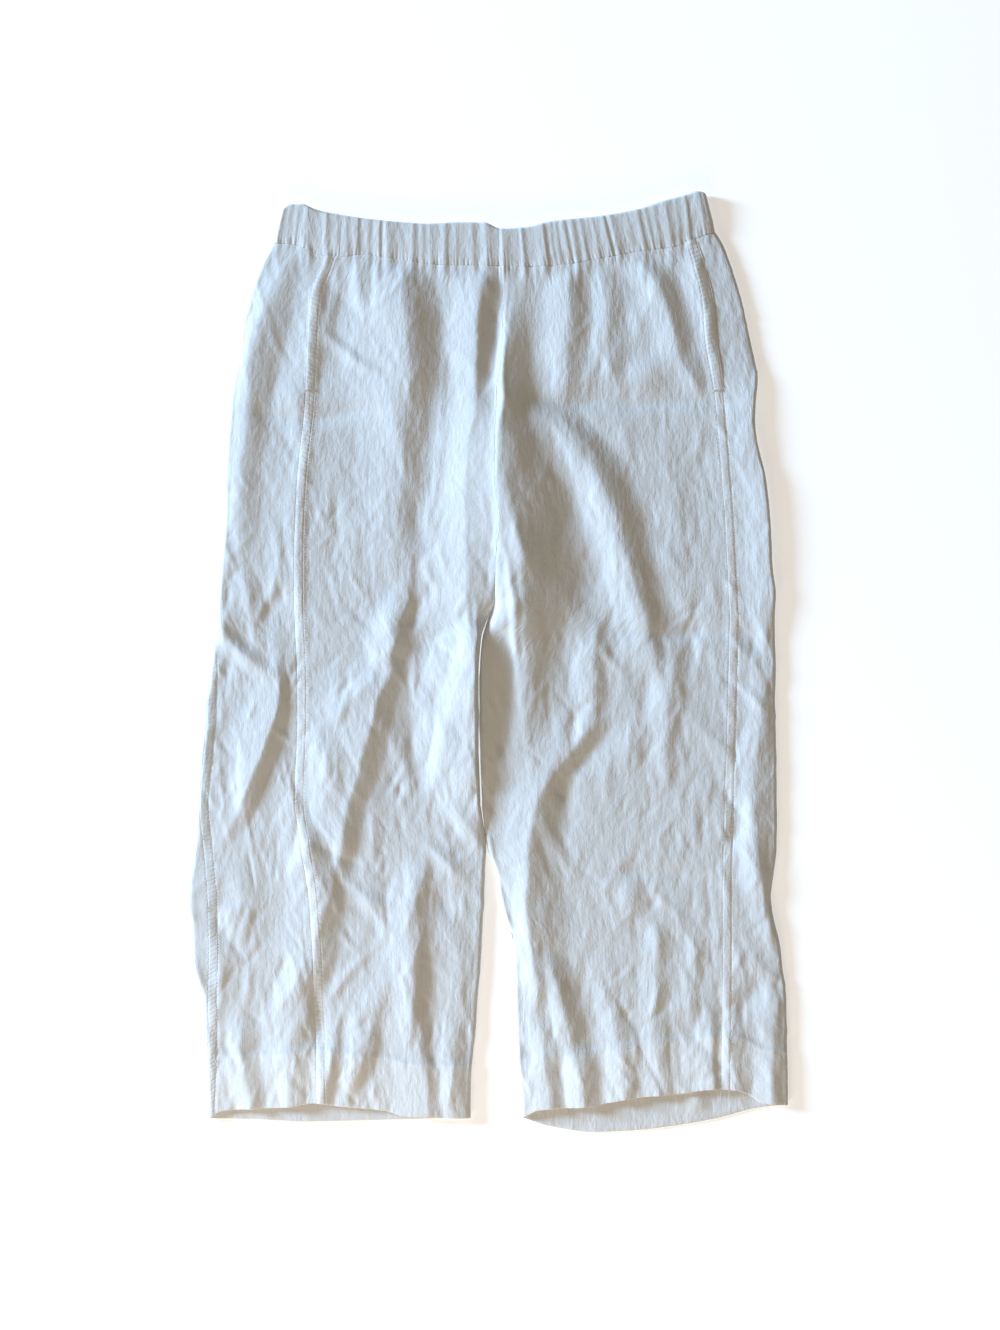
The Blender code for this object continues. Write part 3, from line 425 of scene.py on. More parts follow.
def round_a_fold(way):
    """Layer and distance in from a fold, for a way round it."""
    over = way >= 0.0
    rounding = np.where(over, TOP_ROUND, FLOOR_ROUND)
    angle = np.clip(np.abs(way) / rounding, 0.0, np.pi / 2.0)
    straight = np.maximum(np.abs(way) - rounding * np.pi / 2.0, 0.0)
    return over, rounding * (1.0 - np.cos(angle)) + straight


CROWDED_REACH = 0.006


def ways_between(first, last, columns_across, crowding):
    """Ways round from one seam to another: even steps of the way stretched by crowding at the fold."""
    def stretched(way):
        return way + crowding * CROWDED_REACH * np.tanh(way / CROWDED_REACH)

    ways = np.linspace(-0.35, 0.35, 7001)
    steps = stretched(first) + (stretched(last) - stretched(first)) * np.linspace(0.0, 1.0, columns_across)
    return np.interp(steps, stretched(ways), ways)


def front_seam_distance(leg, y):
    return np.abs(outline(leg, y)[0] - curve(y, leg["y"], leg["seam"]))


def front_seam_way(leg, y):
    return way_round(True, front_seam_distance(leg, y))


def back_seam_way(leg, y):
    return front_seam_way(leg, y) - curve(y, SIDE_WIDTH["y"], SIDE_WIDTH["width"])


def hem_line(leg, x, over):
    """Station of a leg's lower edge at x: the front's over the top, the back's underneath."""
    front, back = HEMS["front_" + leg["name"]], HEMS["back_" + leg["name"]]
    return np.where(over, curve(x, front["x"], front["y"]), curve(x, back["x"], back["y"]))


def waist_seam(x, over):
    """Station of the waist seam: gathered over the front, and one dip across the back."""
    ends_x, ends_y = WAIST["low_x"][[0, -1]], WAIST["low_y"][[0, -1]]
    end = (x > BACK_WAIST_DIP[0]).astype(int)
    share = (x - BACK_WAIST_DIP[0]) / (ends_x[end] - BACK_WAIST_DIP[0])
    back = BACK_WAIST_DIP[1] + (ends_y[end] - BACK_WAIST_DIP[1]) * share**2
    return np.where(over, curve(x, WAIST["low_x"], WAIST["low_y"]), back)


GATHERS = (  # in millimetres: x at the top edge and at the seam, height, and reach to the right and left
    (-205, -211, 0.8, 6, 7), (-196, -202, 0.5, 4, 4), (-188, -194, 0.6, 5, 4), (-180, -184, 1.6, 9, 14),
    (-161, -162, 1.1, 5, 5), (-150, -151, 0.5, 5, 4), (-141, -142, 0.6, 6, 5), (-130, -131, 1.2, 8, 3.5),
    (-119, -120, 0.5, 5, 4), (-108, -109, 1.2, 8, 3.5), (-101, -101, 1.5, 5, 14), (-75, -75, 1.3, 9, 6),
    (-66, -66, 0.5, 4, 4), (-57, -57, 0.6, 5, 5), (-43, -43, 1.2, 8, 5), (-32, -32, 0.5, 5, 4),
    (-16, -15, 0.9, 10, 6), (-2, -1, 1.7, 8, 11), (14, 16, 1.2, 5, 13), (33, 37, 1.2, 5, 5),
    (54, 59, 1.6, 15, 4), (61, 66, 0.5, 3, 3), (67, 73, 0.6, 4, 3), (74, 82, 1.2, 6, 5), (82, 89, 1.2, 4, 8),
    (91, 99, 0.9, 4, 4), (103, 112, 0.5, 5, 4), (114, 124, 1.3, 8, 3), (121, 131, 1.2, 4, 7),
    (137, 146, 0.5, 6, 5), (148, 157, 1.3, 10, 4), (156, 165, 0.6, 4, 3), (164, 173, 0.6, 4, 4),
    (176, 184, 1.3, 8, 6), (186, 192, 0.6, 5, 4), (196, 202, 1.3, 7, 4), (209, 218, 1.2, 12, 6),
)


def gathers(rib_low, up):
    """Height of the gathers at a rib's x on the seam and a share up the band: a soft ridge for each row."""
    total = 0.0
    for top_x, low_x, height, right, left in np.array(GATHERS) * MM:
        top_low = curve(np.array(top_x), WAIST["top_x"], WAIST["low_x"])
        crest = low_x + (top_low - low_x) * up
        away = rib_low - crest
        part = np.clip(np.abs(away) / np.where(away > 0.0, left, right), 0.0, 1.0)
        total = total + height * (0.5 * (1.0 - smooth(part)) + 0.5 * (1.0 - part) ** 2)
    return total


def fine_pleats(x):
    """Pleats drawn up along the waist seam: three waves added, with their crests sharpened."""
    wave = (np.sin(x / 0.00092) + 0.8 * np.sin(x / 0.00131 + 1.3) + 0.6 * np.sin(x / 0.00211 + 0.4)) / 2.4
    return 0.00080 * (1.0 - np.abs(wave)) ** 1.5


GATHER_SHARE, PLEAT_SHARE = 0.7, 1.2  # how much of each shows on both sides of the waist seam


def waist_pleats(x, below):
    """The waistband's gathers running on into the panels, and the fine pleats that its seam draws up, each
    fading down over an uneven way."""
    fade = bell(below, 0.020 + 0.010 * np.sin(x / 0.0113))
    fine_fade = bell(below, 0.011 + 0.006 * np.sin(x / 0.0071 + 1.0))
    return GATHER_SHARE * gathers(x, 0.0) * fade + PLEAT_SHARE * fine_pleats(x) * fine_fade


SINK_SOFTNESS = 0.0006  # how gently the top layer comes to rest on the bottom one
FREE_RISE = 0.004  # an inner fold raised this far isn't held down, so creases run on to it
UNDER_RAISED, UNDER_ROLLED = 0.9, 0.8  # how much of a raised or rolled fold the bottom layer follows
UNDER_ROLLED_REACH = 0.020
INNER_GAP, UNDER_GAP = 0.0016, 0.0022  # how far the inner fold and the bottom layer stay below the top


def lie(leg, over, distance, y, above_hem):
    """Points of the leg's tube before its small relief. The top layer is its plain height with the creases,
    the open mouth's arch, the hem's thickness and the outer fold's roll added. The bottom layer lies on the
    surface and rises with raised folds. Both round down or up to the folds at the leg's edges."""
    outer, round_edge, width = outline(leg, y)
    x = outer - leg["side"] * distance
    inward = np.maximum(width - distance, 0.0)
    raised = curve(y, *np.array(RAISED[leg["name"]]).T)
    rolled = curve(y, *np.array(ROLLED[leg["name"]]).T)
    free_edge = round_edge * (1.0 - smooth(raised / FREE_RISE))
    calm = smooth(distance / EDGE_CALM) * (1.0 - free_edge * (1.0 - smooth(inward / EDGE_CALM)))
    wander_x = x + 0.0013 * np.sin(y / 0.0231 + x / 0.041) + 0.0007 * np.sin(y / 0.0087 - x / 0.023)
    wander_y = y + 0.0020 * np.sin(x / 0.0133 + y / 0.029)
    folds = sum(ridge(crisp, rows, wander_x, wander_y) for crisp, *rows in FOLDS + LEG_FOLDS[leg["name"]])
    arch = MOUTH_RISE * np.sin(np.pi * np.clip(distance / width, 0.0, 1.0))
    arch = arch * (1.0 - smooth(above_hem / MOUTH_REACH))
    hem = 1.0 - smooth((above_hem - HEM_DEPTH) / 0.006)
    below_waist = np.maximum(waist_seam(x, True) - y, 0.0)
    folds = folds * (0.10 + 0.90 * smooth(below_waist / 0.022)) + waist_pleats(x, below_waist)
    roll = rolled * (1.0 - smooth(distance / ROLLED_REACH))
    top = TOP_LAYER + folds * calm + arch + HEM_RISE * hem + roll
    top = LOWEST_TOP + np.logaddexp(0.0, (top - LOWEST_TOP) / SINK_SOFTNESS) * SINK_SOFTNESS
    rounding = np.where(over, TOP_ROUND, FLOOR_ROUND)
    outer_share = share_of_height(distance, rounding)
    inner_share = 1.0 - round_edge * (1.0 - share_of_height(inward, rounding))
    plain_fold = FOLD_HEIGHT + (HEM_FOLD_HEIGHT - FOLD_HEIGHT) * hem
    outer_fold = plain_fold + rolled
    inner_fold = np.minimum(plain_fold + raised, np.maximum(top - INNER_GAP, plain_fold))
    under = FLOOR_LAYER + UNDER_RAISED * (inner_fold - plain_fold) * (1.0 - smooth(inward / RAISED_REACH))
    under = under + UNDER_ROLLED * rolled * (1.0 - smooth(distance / UNDER_ROLLED_REACH))
    under = under + calm * sum(ridge(crisp, rows, x, y) for crisp, *rows in BACK_FOLDS)
    under = np.minimum(under, np.maximum(top - UNDER_GAP, FLOOR_LAYER))
    level = np.where(over, top, under)
    from_outer = outer_fold + (level - outer_fold) * outer_share
    from_inner = inner_fold + (level - inner_fold) * inner_share
    z = np.where(distance < width / 2.0, from_outer, from_inner)
    return np.stack((x, y, z), axis=-1)


def normals_of(points, side):
    """Unit normals of a grid of points, out of the garment."""
    return unit(np.cross(np.gradient(points, axis=0), np.gradient(points, axis=1)) * side)


# A side seam is a shallow ditch. Beside it the cloth is felled and sewn down with two rows of stitches, which
# leave a slightly raised and puckered band.
BAND_WIDTH = 0.0100
STITCH_ROWS = (0.0012, 0.0098)  # from the seam
SEAM_DITCH, BAND_RISE, STITCH_SINK, SEAM_PUCKER = 0.00010, 0.00028, 0.00014, 0.00024
HEM_ROW_DOWN = 0.0015  # a hem's row of stitches, down from the top of its turn-up
HEM_ROW_SINK, HEM_PUCKER = 0.00030, 0.00016


def puckers(y, seed):
    """Uneven ripples along a sewn seam: three waves whose lengths share no measure."""
    waves = np.sin(y / 0.00131 + seed) + 0.8 * np.sin(y / 0.00209 + 2.0 * seed)
    return (waves + 0.7 * np.sin(y / 0.00343 + 5.0 * seed)) / 2.5


def seam_relief(beside, y, seed):
    """Height beside a side seam, on the side of its stitched band, which is the way that beside grows."""
    ditch = -SEAM_DITCH * bell(beside, 0.0010)
    inside = smooth(beside / 0.0030) * (1.0 - smooth((beside - BAND_WIDTH) / 0.0040))
    rows = sum(bell(beside - row, 0.0008) for row in STITCH_ROWS)
    ripple = puckers(y, seed) * bell(beside - BAND_WIDTH / 2.0, 0.011)
    return ditch + BAND_RISE * inside - STITCH_SINK * rows + SEAM_PUCKER * ripple


def relief(leg, over, distance, x, y, above_hem):
    """Height of the small things out from the tube: crumples, which fade out at the waist seam, the seams and
    the rows of stitches. Underneath, it is half as much and always inwards, where the cloth meets the floor."""
    way = way_round(over, distance)
    unrolled = outline(leg, y)[0] - leg["side"] * way
    below_waist = np.maximum(waist_seam(x, over) - y, 0.0)
    small = crumple(unrolled, y) * smooth(below_waist / 0.020)
    seams = seam_relief(way - front_seam_way(leg, y), y, 1.0) + seam_relief(back_seam_way(leg, y) - way, y, 2.0)
    hem_row = bell(above_hem - HEM_DEPTH + HEM_ROW_DOWN, 0.0009)
    hem_ripple = puckers(x, 3.0) * bell(above_hem - HEM_DEPTH, 0.010)
    total = small + seams - HEM_ROW_SINK * hem_row + HEM_PUCKER * hem_ripple
    return np.where(over, total, -np.minimum(np.abs(total) * 0.5, 0.0004))


def worn(leg, over, distance, x, y, above_hem):
    """The leg's tube with its small relief, and its normals."""
    points = lie(leg, over, distance, y, above_hem)
    points += normals_of(points, leg["side"]) * relief(leg, over, distance, x, y, above_hem)[..., None]
    return points, normals_of(points, leg["side"])


def half_gap_near_fold(way):
    """Half the gap at a seam, a little wider where it lies on a fold."""
    return SEAM_GAP * (0.5 + 1.3 * np.exp(-((way / FLOOR_ROUND) ** 2) / 2.0))


def front_place(leg, y, count):
    """Front: from the centre-front seam, or from the inseam under the inner fold, to the side seam."""
    width = outline(leg, y)[2]
    inseam = way_round(False, curve(y, INNER_EDGE["y"], INNER_EDGE["wrap"]))
    side_seam = way_round(True, width - front_seam_distance(leg, y) - SEAM_GAP / 2.0)
    over, inward = round_a_fold(ways_between(inseam, side_seam, count, 2.5))
    return over, width - inward


def side_place(leg, y, count):
    """Side panel: from the front side seam round the outer fold to the back side seam."""
    front_seam = way_round(True, front_seam_distance(leg, y) - SEAM_GAP / 2.0)
    back_seam = back_seam_way(leg, y)
    return round_a_fold(ways_between(front_seam, back_seam + half_gap_near_fold(back_seam), count, 3.0))


def back_place(leg, y, count):
    """Back: from the back side seam to the inseam, or to the centre-back seam above the crotch."""
    width = outline(leg, y)[2]
    side_seam = back_seam_way(leg, y)
    wrap = curve(y, INNER_EDGE["y"], INNER_EDGE["wrap"])
    gap = 2.0 * half_gap_near_fold(wrap) * smooth(wrap / SEAM_GAP)
    inseam = way_round(False, width - wrap - gap)
    return round_a_fold(ways_between(side_seam - half_gap_near_fold(side_seam), inseam, count, 4.0))


MOUTH_LOW, MOUTH_HIGH = 0.272, 0.425  # stations of a pocket's mouth, left open in the front side seam
MOUTH_LIFT = {"right": (0.0010, 0.0012), "left": (0.0014, 0.0024)}  # its edge's lift, and its lap on the side
HEM_ROUND = 0.00055  # radius of the hem's folded edge
HEM_TURNS = 5  # rows round it


def open_mouth(leg, points, outwards, y):
    """A front with its edge lifted and lapped over the side panel down the pocket's mouth, which bows."""
    lift, lap = MOUTH_LIFT[leg["name"]]
    down_mouth = np.clip((MOUTH_HIGH - y) / (MOUTH_HIGH - MOUTH_LOW), 0.0, 1.0)
    bow = np.sqrt(np.sin(np.pi * down_mouth)) * (y > MOUTH_LOW) * (y < MOUTH_HIGH)
    from_edge = np.linalg.norm(points - points[:, -1:], axis=-1)
    sidewards = unit(points[:, -1:] - points[:, -4:-3])
    up = (lift * bow * (1.0 - smooth(from_edge / 0.014)))[..., None]
    out = (lap * bow * (1.0 - smooth(from_edge / 0.010)))[..., None]
    return points + up * outwards + out * sidewards


def panel(leg, place, rows, count):
    """Grid of a panel, from the waist down to the hem's edge, round it, and up inside as its turn-up. A
    point's station depends on its x and its x on its station, so both settle in a few passes. With it go how
    much it takes the paler colour of two layers, where the felled bands and the hem are two layers and in a
    thin painted highlight just below the waist seam, and the way to a band's middle."""
    down = np.linspace(0.0, 1.0, rows)[:, None] * np.ones(count)
    y = 0.40 - 0.85 * down
    for _ in range(6):
        over, distance = place(leg, y, count)
        x = outline(leg, y)[0] - leg["side"] * distance
        top = waist_seam(x, over) - WAIST_GAP
        bottom = hem_line(leg, x, over) + HEM_ROUND
        y = top + (bottom - top) * down
    over, distance = place(leg, y, count)
    above_hem = y - bottom
    points, outwards = worn(leg, over, distance, x, y, above_hem)
    if place is front_place:
        points = open_mouth(leg, points, outwards, y)
    onwards = unit(points[-1] - points[-2])
    turn = np.linspace(0.0, np.pi, HEM_TURNS + 2)[1:-1, None, None]
    rounded = points[-1] + HEM_ROUND * (np.sin(turn) * onwards - (1.0 - np.cos(turn)) * outwards[-1])
    inner_rows = int(rows * HEM_DEPTH / 0.85)
    inside = (points - 2.0 * HEM_ROUND * outwards)[-inner_rows:][::-1]
    grid = np.concatenate((points, rounded, inside))
    way = way_round(over, distance)
    past_seam = way - front_seam_way(leg, y)
    turned_up = 1.0 - smooth((above_hem - HEM_DEPTH) / 0.002)
    # Just below the waist seam a thin line takes the paler colour of two layers: a painted highlight of the
    # seam's edge, not two layers of cloth.
    painted_waist_highlight = 1.0 - smooth((top - y - 0.0008) / 0.0010)
    felled = smooth((past_seam + 0.001) / 0.001) * (1.0 - smooth((past_seam - BAND_WIDTH) / 0.001))
    doubled_and_painted_highlight = np.maximum(np.maximum(turned_up, painted_waist_highlight), felled)
    past_back_seam = way - back_seam_way(leg, y)
    beside = np.minimum(np.abs(past_seam - BAND_WIDTH / 2.0), np.abs(past_back_seam + BAND_WIDTH / 2.0))
    hidden = np.ones((HEM_TURNS + inner_rows, count))
    felt = {"doubled_and_painted_highlight": np.concatenate((doubled_and_painted_highlight, hidden)), "beside": np.concatenate((beside, hidden))}
    return grid, felt


def cut_map(points):
    """Flat coordinates of a grid, in metres: the way across each row and the way down each column."""
    across = np.linalg.norm(np.diff(points, axis=1), axis=-1).mean(axis=0)
    down = np.linalg.norm(np.diff(points, axis=0), axis=-1).mean(axis=1)
    u = np.concatenate(([0.0], np.cumsum(across)))
    v = -np.concatenate(([0.0], np.cumsum(down)))
    return np.stack(np.broadcast_arrays(u[None, :], v[:, None]), axis=-1)


def smooth_mesh(name, points, corners, uv, felt, finish):
    """A mesh of four-cornered faces with its flat coordinates, and the ends of its edges. felt holds two values
    a point by name: how much it takes the paler colour of two layers of cloth, for real double cloth and for a
    painted highlight, and its distance from the middle of a stitched seam band."""
    mesh = bpy.data.meshes.new(name)
    mesh.vertices.add(points.size // 3)
    mesh.vertices.foreach_set("co", points.reshape(-1).astype(np.float32))
    mesh.loops.add(corners.size)
    mesh.loops.foreach_set("vertex_index", corners.reshape(-1).astype(np.int32))
    mesh.polygons.add(len(corners))
    mesh.polygons.foreach_set("loop_start", np.arange(0, corners.size, 4, dtype=np.int32))
    mesh.polygons.foreach_set("use_smooth", np.ones(len(corners), bool))
    mesh.update(calc_edges=True)
    layer = mesh.uv_layers.new(name="cut")
    layer.data.foreach_set("uv", uv.reshape(-1, 2)[corners.reshape(-1)].reshape(-1).astype(np.float32))
    for value_name, values in felt.items():
        attribute = mesh.attributes.new(value_name, "FLOAT", "POINT")
        attribute.data.foreach_set("value", values.reshape(-1).astype(np.float32))
    mesh.materials.append(finish)
    ends = np.empty(len(mesh.edges) * 2, np.int32)
    mesh.edges.foreach_get("vertices", ends)
    return mesh, ends.reshape(-1, 2)


def placed(data, sharp_edges=None):
    """A mesh, light or camera as an object in the scene, and a mesh with these edges sharp."""
    if sharp_edges is not None:
        data.attributes.new("sharp_edge", "BOOLEAN", "EDGE").data.foreach_set("value", sharp_edges)
    made = bpy.data.objects.new(data.name, data)
    bpy.context.scene.collection.objects.link(made)
    return made


def cloth_mesh(name, points, felt, side, wall, finish):
    """A grid of points as a smooth sheet with a wall and sharp rims."""
    rows, count = points.shape[:2]
    index = np.arange(rows * count).reshape(rows, count)
    corners = np.stack((index[:-1, :-1], index[1:, :-1], index[1:, 1:], index[:-1, 1:]), axis=-1).reshape(-1, 4)
    corners = corners if side > 0 else corners[:, ::-1]
    mesh, ends = smooth_mesh(name, points, corners, cut_map(points), felt, finish)
    row, column = np.divmod(ends, count)
    rim = np.zeros(len(row), bool)
    for place, last in ((row, rows - 1), (column, count - 1)):
        rim |= (place == 0).all(axis=1) | (place == last).all(axis=1)
    made = placed(mesh, rim)
    shell = made.modifiers.new("Wall", "SOLIDIFY")
    shell.thickness = wall
    shell.offset = 0.0
    return made


class Signal:
    """A socket of a material's nodes. Arithmetic on it adds the Math node that works it out."""

    def __init__(self, tree, socket):
        self.tree, self.socket = tree, socket

    def make(self, kind, settings=None, **sockets):
        """A node of this kind with its settings, and values or signals on its sockets by name or number."""
        node = self.tree.nodes.new(kind)
        for setting, value in (settings or {}).items():
            setattr(node, setting, value)
        for name, value in sockets.items():
            key = int(name[1:]) if name[0] == "i" and name[1:].isdigit() else name.replace("_", " ")
            if isinstance(value, Signal):
                self.tree.links.new(value.socket, node.inputs[key])
            else:
                node.inputs[key].default_value = value
        return node

    def output(self, node, key=0):
        return Signal(self.tree, node.outputs[key])

    def math(self, operation, *values):
        inputs = {"i%d" % i: value for i, value in enumerate(values)}
        return self.output(self.make("ShaderNodeMath", {"operation": operation}, **inputs))

    def __add__(self, other): return self.math("ADD", self, other)
    def __sub__(self, other): return self.math("SUBTRACT", self, other)
    def __mul__(self, other): return self.math("MULTIPLY", self, other)
    def __rsub__(self, other): return self.math("SUBTRACT", other, self)
    __radd__, __rmul__ = __add__, __mul__


def noise(signal, place, stretch, detail=2.0, roughness=0.5):
    """Noise about 0, from -0.5 to 0.5, on coordinates stretched by this much each way, per metre."""
    mapped = signal.make("ShaderNodeMapping", None, Vector=place, Scale=stretch)
    made = signal.make(
        "ShaderNodeTexNoise", {"noise_dimensions": "3D"}, Vector=signal.output(mapped), Scale=1.0,
        Detail=detail, Roughness=roughness,
    )
    return signal.output(made) - 0.5


THREAD_HEIGHT, SLUB_HEIGHT, CROSS_HEIGHT = 0.00005, 0.00009, 0.00006
BLOTCH_HEIGHT, CRINKLE_HEIGHT, CREASE_HEIGHT = 0.00046, 0.00026, 0.0011
TICK_HEIGHT, ROW_HEIGHT, ROW_WIDTH = 0.00006, 0.00019, 0.0009
LINEN_VALUES = {"Sheen Weight": 0.12, "Sheen Roughness": 0.5, "Specular IOR Level": 0.25}


def plain_finish(name, values):
    """A material with these values on its shader."""
    finish = bpy.data.materials.new(name)
    finish.use_nodes = True
    shader = finish.node_tree.nodes["Principled BSDF"]
    for socket, value in values.items():
        shader.inputs[socket].default_value = value
    return finish


def plain_felt(points):
    """Values for cloth that is single and has no stitched band."""
    return {"doubled_and_painted_highlight": np.zeros(points.shape[:2]), "beside": np.ones(points.shape[:2])}


def linen(name, single, double):
    """Washed plain-weave linen: threads and slubs of uneven thickness both ways, paler where it lies in two
    layers and along a painted highlight just below the waist seam. Its height is the sum of the threads, slubs,
    soft blotches and fine crinkles, less sharp-bottomed creases, with stitch marks inside a seam band and its
    two rows sunk in."""
    finish = plain_finish(name, LINEN_VALUES)
    tree = finish.node_tree
    shader = tree.nodes["Principled BSDF"]
    root = Signal(tree, None)
    place = root.output(root.make("ShaderNodeUVMap", {"uv_map": "cut"}))
    # The paler colour goes where the cloth lies in two layers and on a painted highlight line just below the
    # waist seam.
    doubled_and_painted_highlight = root.output(root.make("ShaderNodeAttribute", {"attribute_name": "doubled_and_painted_highlight"}), "Fac")
    warp = noise(root, place, (1500.0, 45.0, 1.0))
    weft = noise(root, place, (40.0, 1500.0, 1.0))
    slub = noise(root, place, (420.0, 14.0, 1.0), 3.0, 0.6)
    cross_slub = noise(root, place, (12.0, 520.0, 1.0), 2.0, 0.6)
    blotch = noise(root, place, (55.0, 24.0, 1.0), 4.0, 0.6)
    crinkle = noise(root, place, (240.0, 90.0, 1.0), 3.0, 0.55)
    crease = root.math("ABSOLUTE", noise(root, place, (85.0, 38.0, 1.0), 3.0, 0.55))
    beside = root.output(root.make("ShaderNodeAttribute", {"attribute_name": "beside"}), "Fac")
    along = root.output(root.make("ShaderNodeSeparateXYZ", None, Vector=place), 1)
    from_row = beside - (STITCH_ROWS[1] - STITCH_ROWS[0]) / 2.0
    row = root.math("EXPONENT", from_row * from_row * (-1.0 / ROW_WIDTH**2))
    edge = {"From_Min": 0.0045, "From_Max": 0.0065, "To_Min": 1.0, "To_Max": 0.0}
    inside = root.output(root.make("ShaderNodeMapRange", None, Value=beside, **edge))
    tick = root.math("SINE", along * 1400.0 + blotch * 9.0)
    tone = 0.5 + slub * 1.1 + cross_slub * 0.5 + blotch * 0.7
    shade = root.make("ShaderNodeMapRange", None, Value=tone, To_Min=0.94, To_Max=1.04)
    base = root.make("ShaderNodeMix", {"data_type": "RGBA"}, Factor=doubled_and_painted_highlight, i6=single, i7=double)
    scaled = root.make(
        "ShaderNodeVectorMath", {"operation": "SCALE"}, i0=root.output(base, 2), Scale=root.output(shade)
    )
    tree.links.new(scaled.outputs[0], shader.inputs["Base Color"])
    height = warp * THREAD_HEIGHT + weft * THREAD_HEIGHT + slub * SLUB_HEIGHT + cross_slub * CROSS_HEIGHT
    height = height + blotch * BLOTCH_HEIGHT + crinkle * CRINKLE_HEIGHT - crease * CREASE_HEIGHT
    height = height + inside * tick * TICK_HEIGHT - row * ROW_HEIGHT
    bump = root.make("ShaderNodeBump", None, Strength=1.0, Distance=1.0, Height=height)
    tree.links.new(bump.outputs[0], shader.inputs["Normal"])
    rough = 0.86 + slub * 0.12
    tree.links.new(rough.socket, shader.inputs["Roughness"])
    return finish


# ------------------------------------------------------------------------------
# Front panels, cut twice. Washed linen; sewn to each other at the centre front, to the backs at the inseams
# and to the side panels at the forward side seams. The hem is turned up 52 mm inside.
# ------------------------------------------------------------------------------
# The second colour is for cloth in two layers, and it also paints a highlight line just below the waist seam.
LINEN = linen("linen", (0.780, 0.795, 0.800, 1.0), (0.850, 0.862, 0.865, 1.0))
FRONT_ROWS, FRONT_COLUMNS = 350, 108


def make_panel(kind, leg, place, rows, count):
    """One panel with its turn-up, in the place of its two solids."""
    name = kind + "_" + leg["name"]
    points, felt = panel(leg, place, rows, count)
    made = cloth_mesh(name + "_linen", points, felt, leg["side"], CLOTH, LINEN)
    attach(made, "root")
    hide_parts(name, "hem_" + name)


for leg in (WEARER_RIGHT, WEARER_LEFT):
    make_panel("front", leg, front_place, FRONT_ROWS, FRONT_COLUMNS)

# ------------------------------------------------------------------------------
# Side panels, cut twice from the same linen, each wrapping the outer fold from the forward side seam to the
# back side seam. Both seams are felled and stitched down. The hem is turned up 52 mm inside.
# ------------------------------------------------------------------------------
SIDE_ROWS, SIDE_COLUMNS = 350, 56
for leg in (WEARER_RIGHT, WEARER_LEFT):
    make_panel("side", leg, side_place, SIDE_ROWS, SIDE_COLUMNS)

# ------------------------------------------------------------------------------
# Backs, cut twice from the same linen, lying on the surface under the fronts. They are sewn to each other at
# the centre back, to the fronts at the inseams and to the side panels. The hem is turned up 52 mm inside.
# ------------------------------------------------------------------------------
BACK_ROWS, BACK_COLUMNS = 240, 72
for leg in (WEARER_RIGHT, WEARER_LEFT):
    make_panel("back", leg, back_place, BACK_ROWS, BACK_COLUMNS)

# ------------------------------------------------------------------------------
# Waistband: one strip of linen folded over wide elastic, which draws it up into uneven upright gathers. It is
# a closed ring, sewn to the tops of all six panels.
# ------------------------------------------------------------------------------
BAND_THICK = 0.0021
BAND_FLOOR, BAND_TOP = 0.0012, 0.0054  # heights of its back and front walls
BAND_ROUND = 0.0042
BAND_FRONT_STEPS, BAND_BACK_STEPS = 380, 150
BACK_TOP_DIP = (0.012, 0.4325)  # lowest place of the back's top edge
BAND_TILT = 0.0032  # how much higher its front's top edge lies than its seam
BAND_SEAM = 0.0125  # where the strip's ends are joined, over the centre front


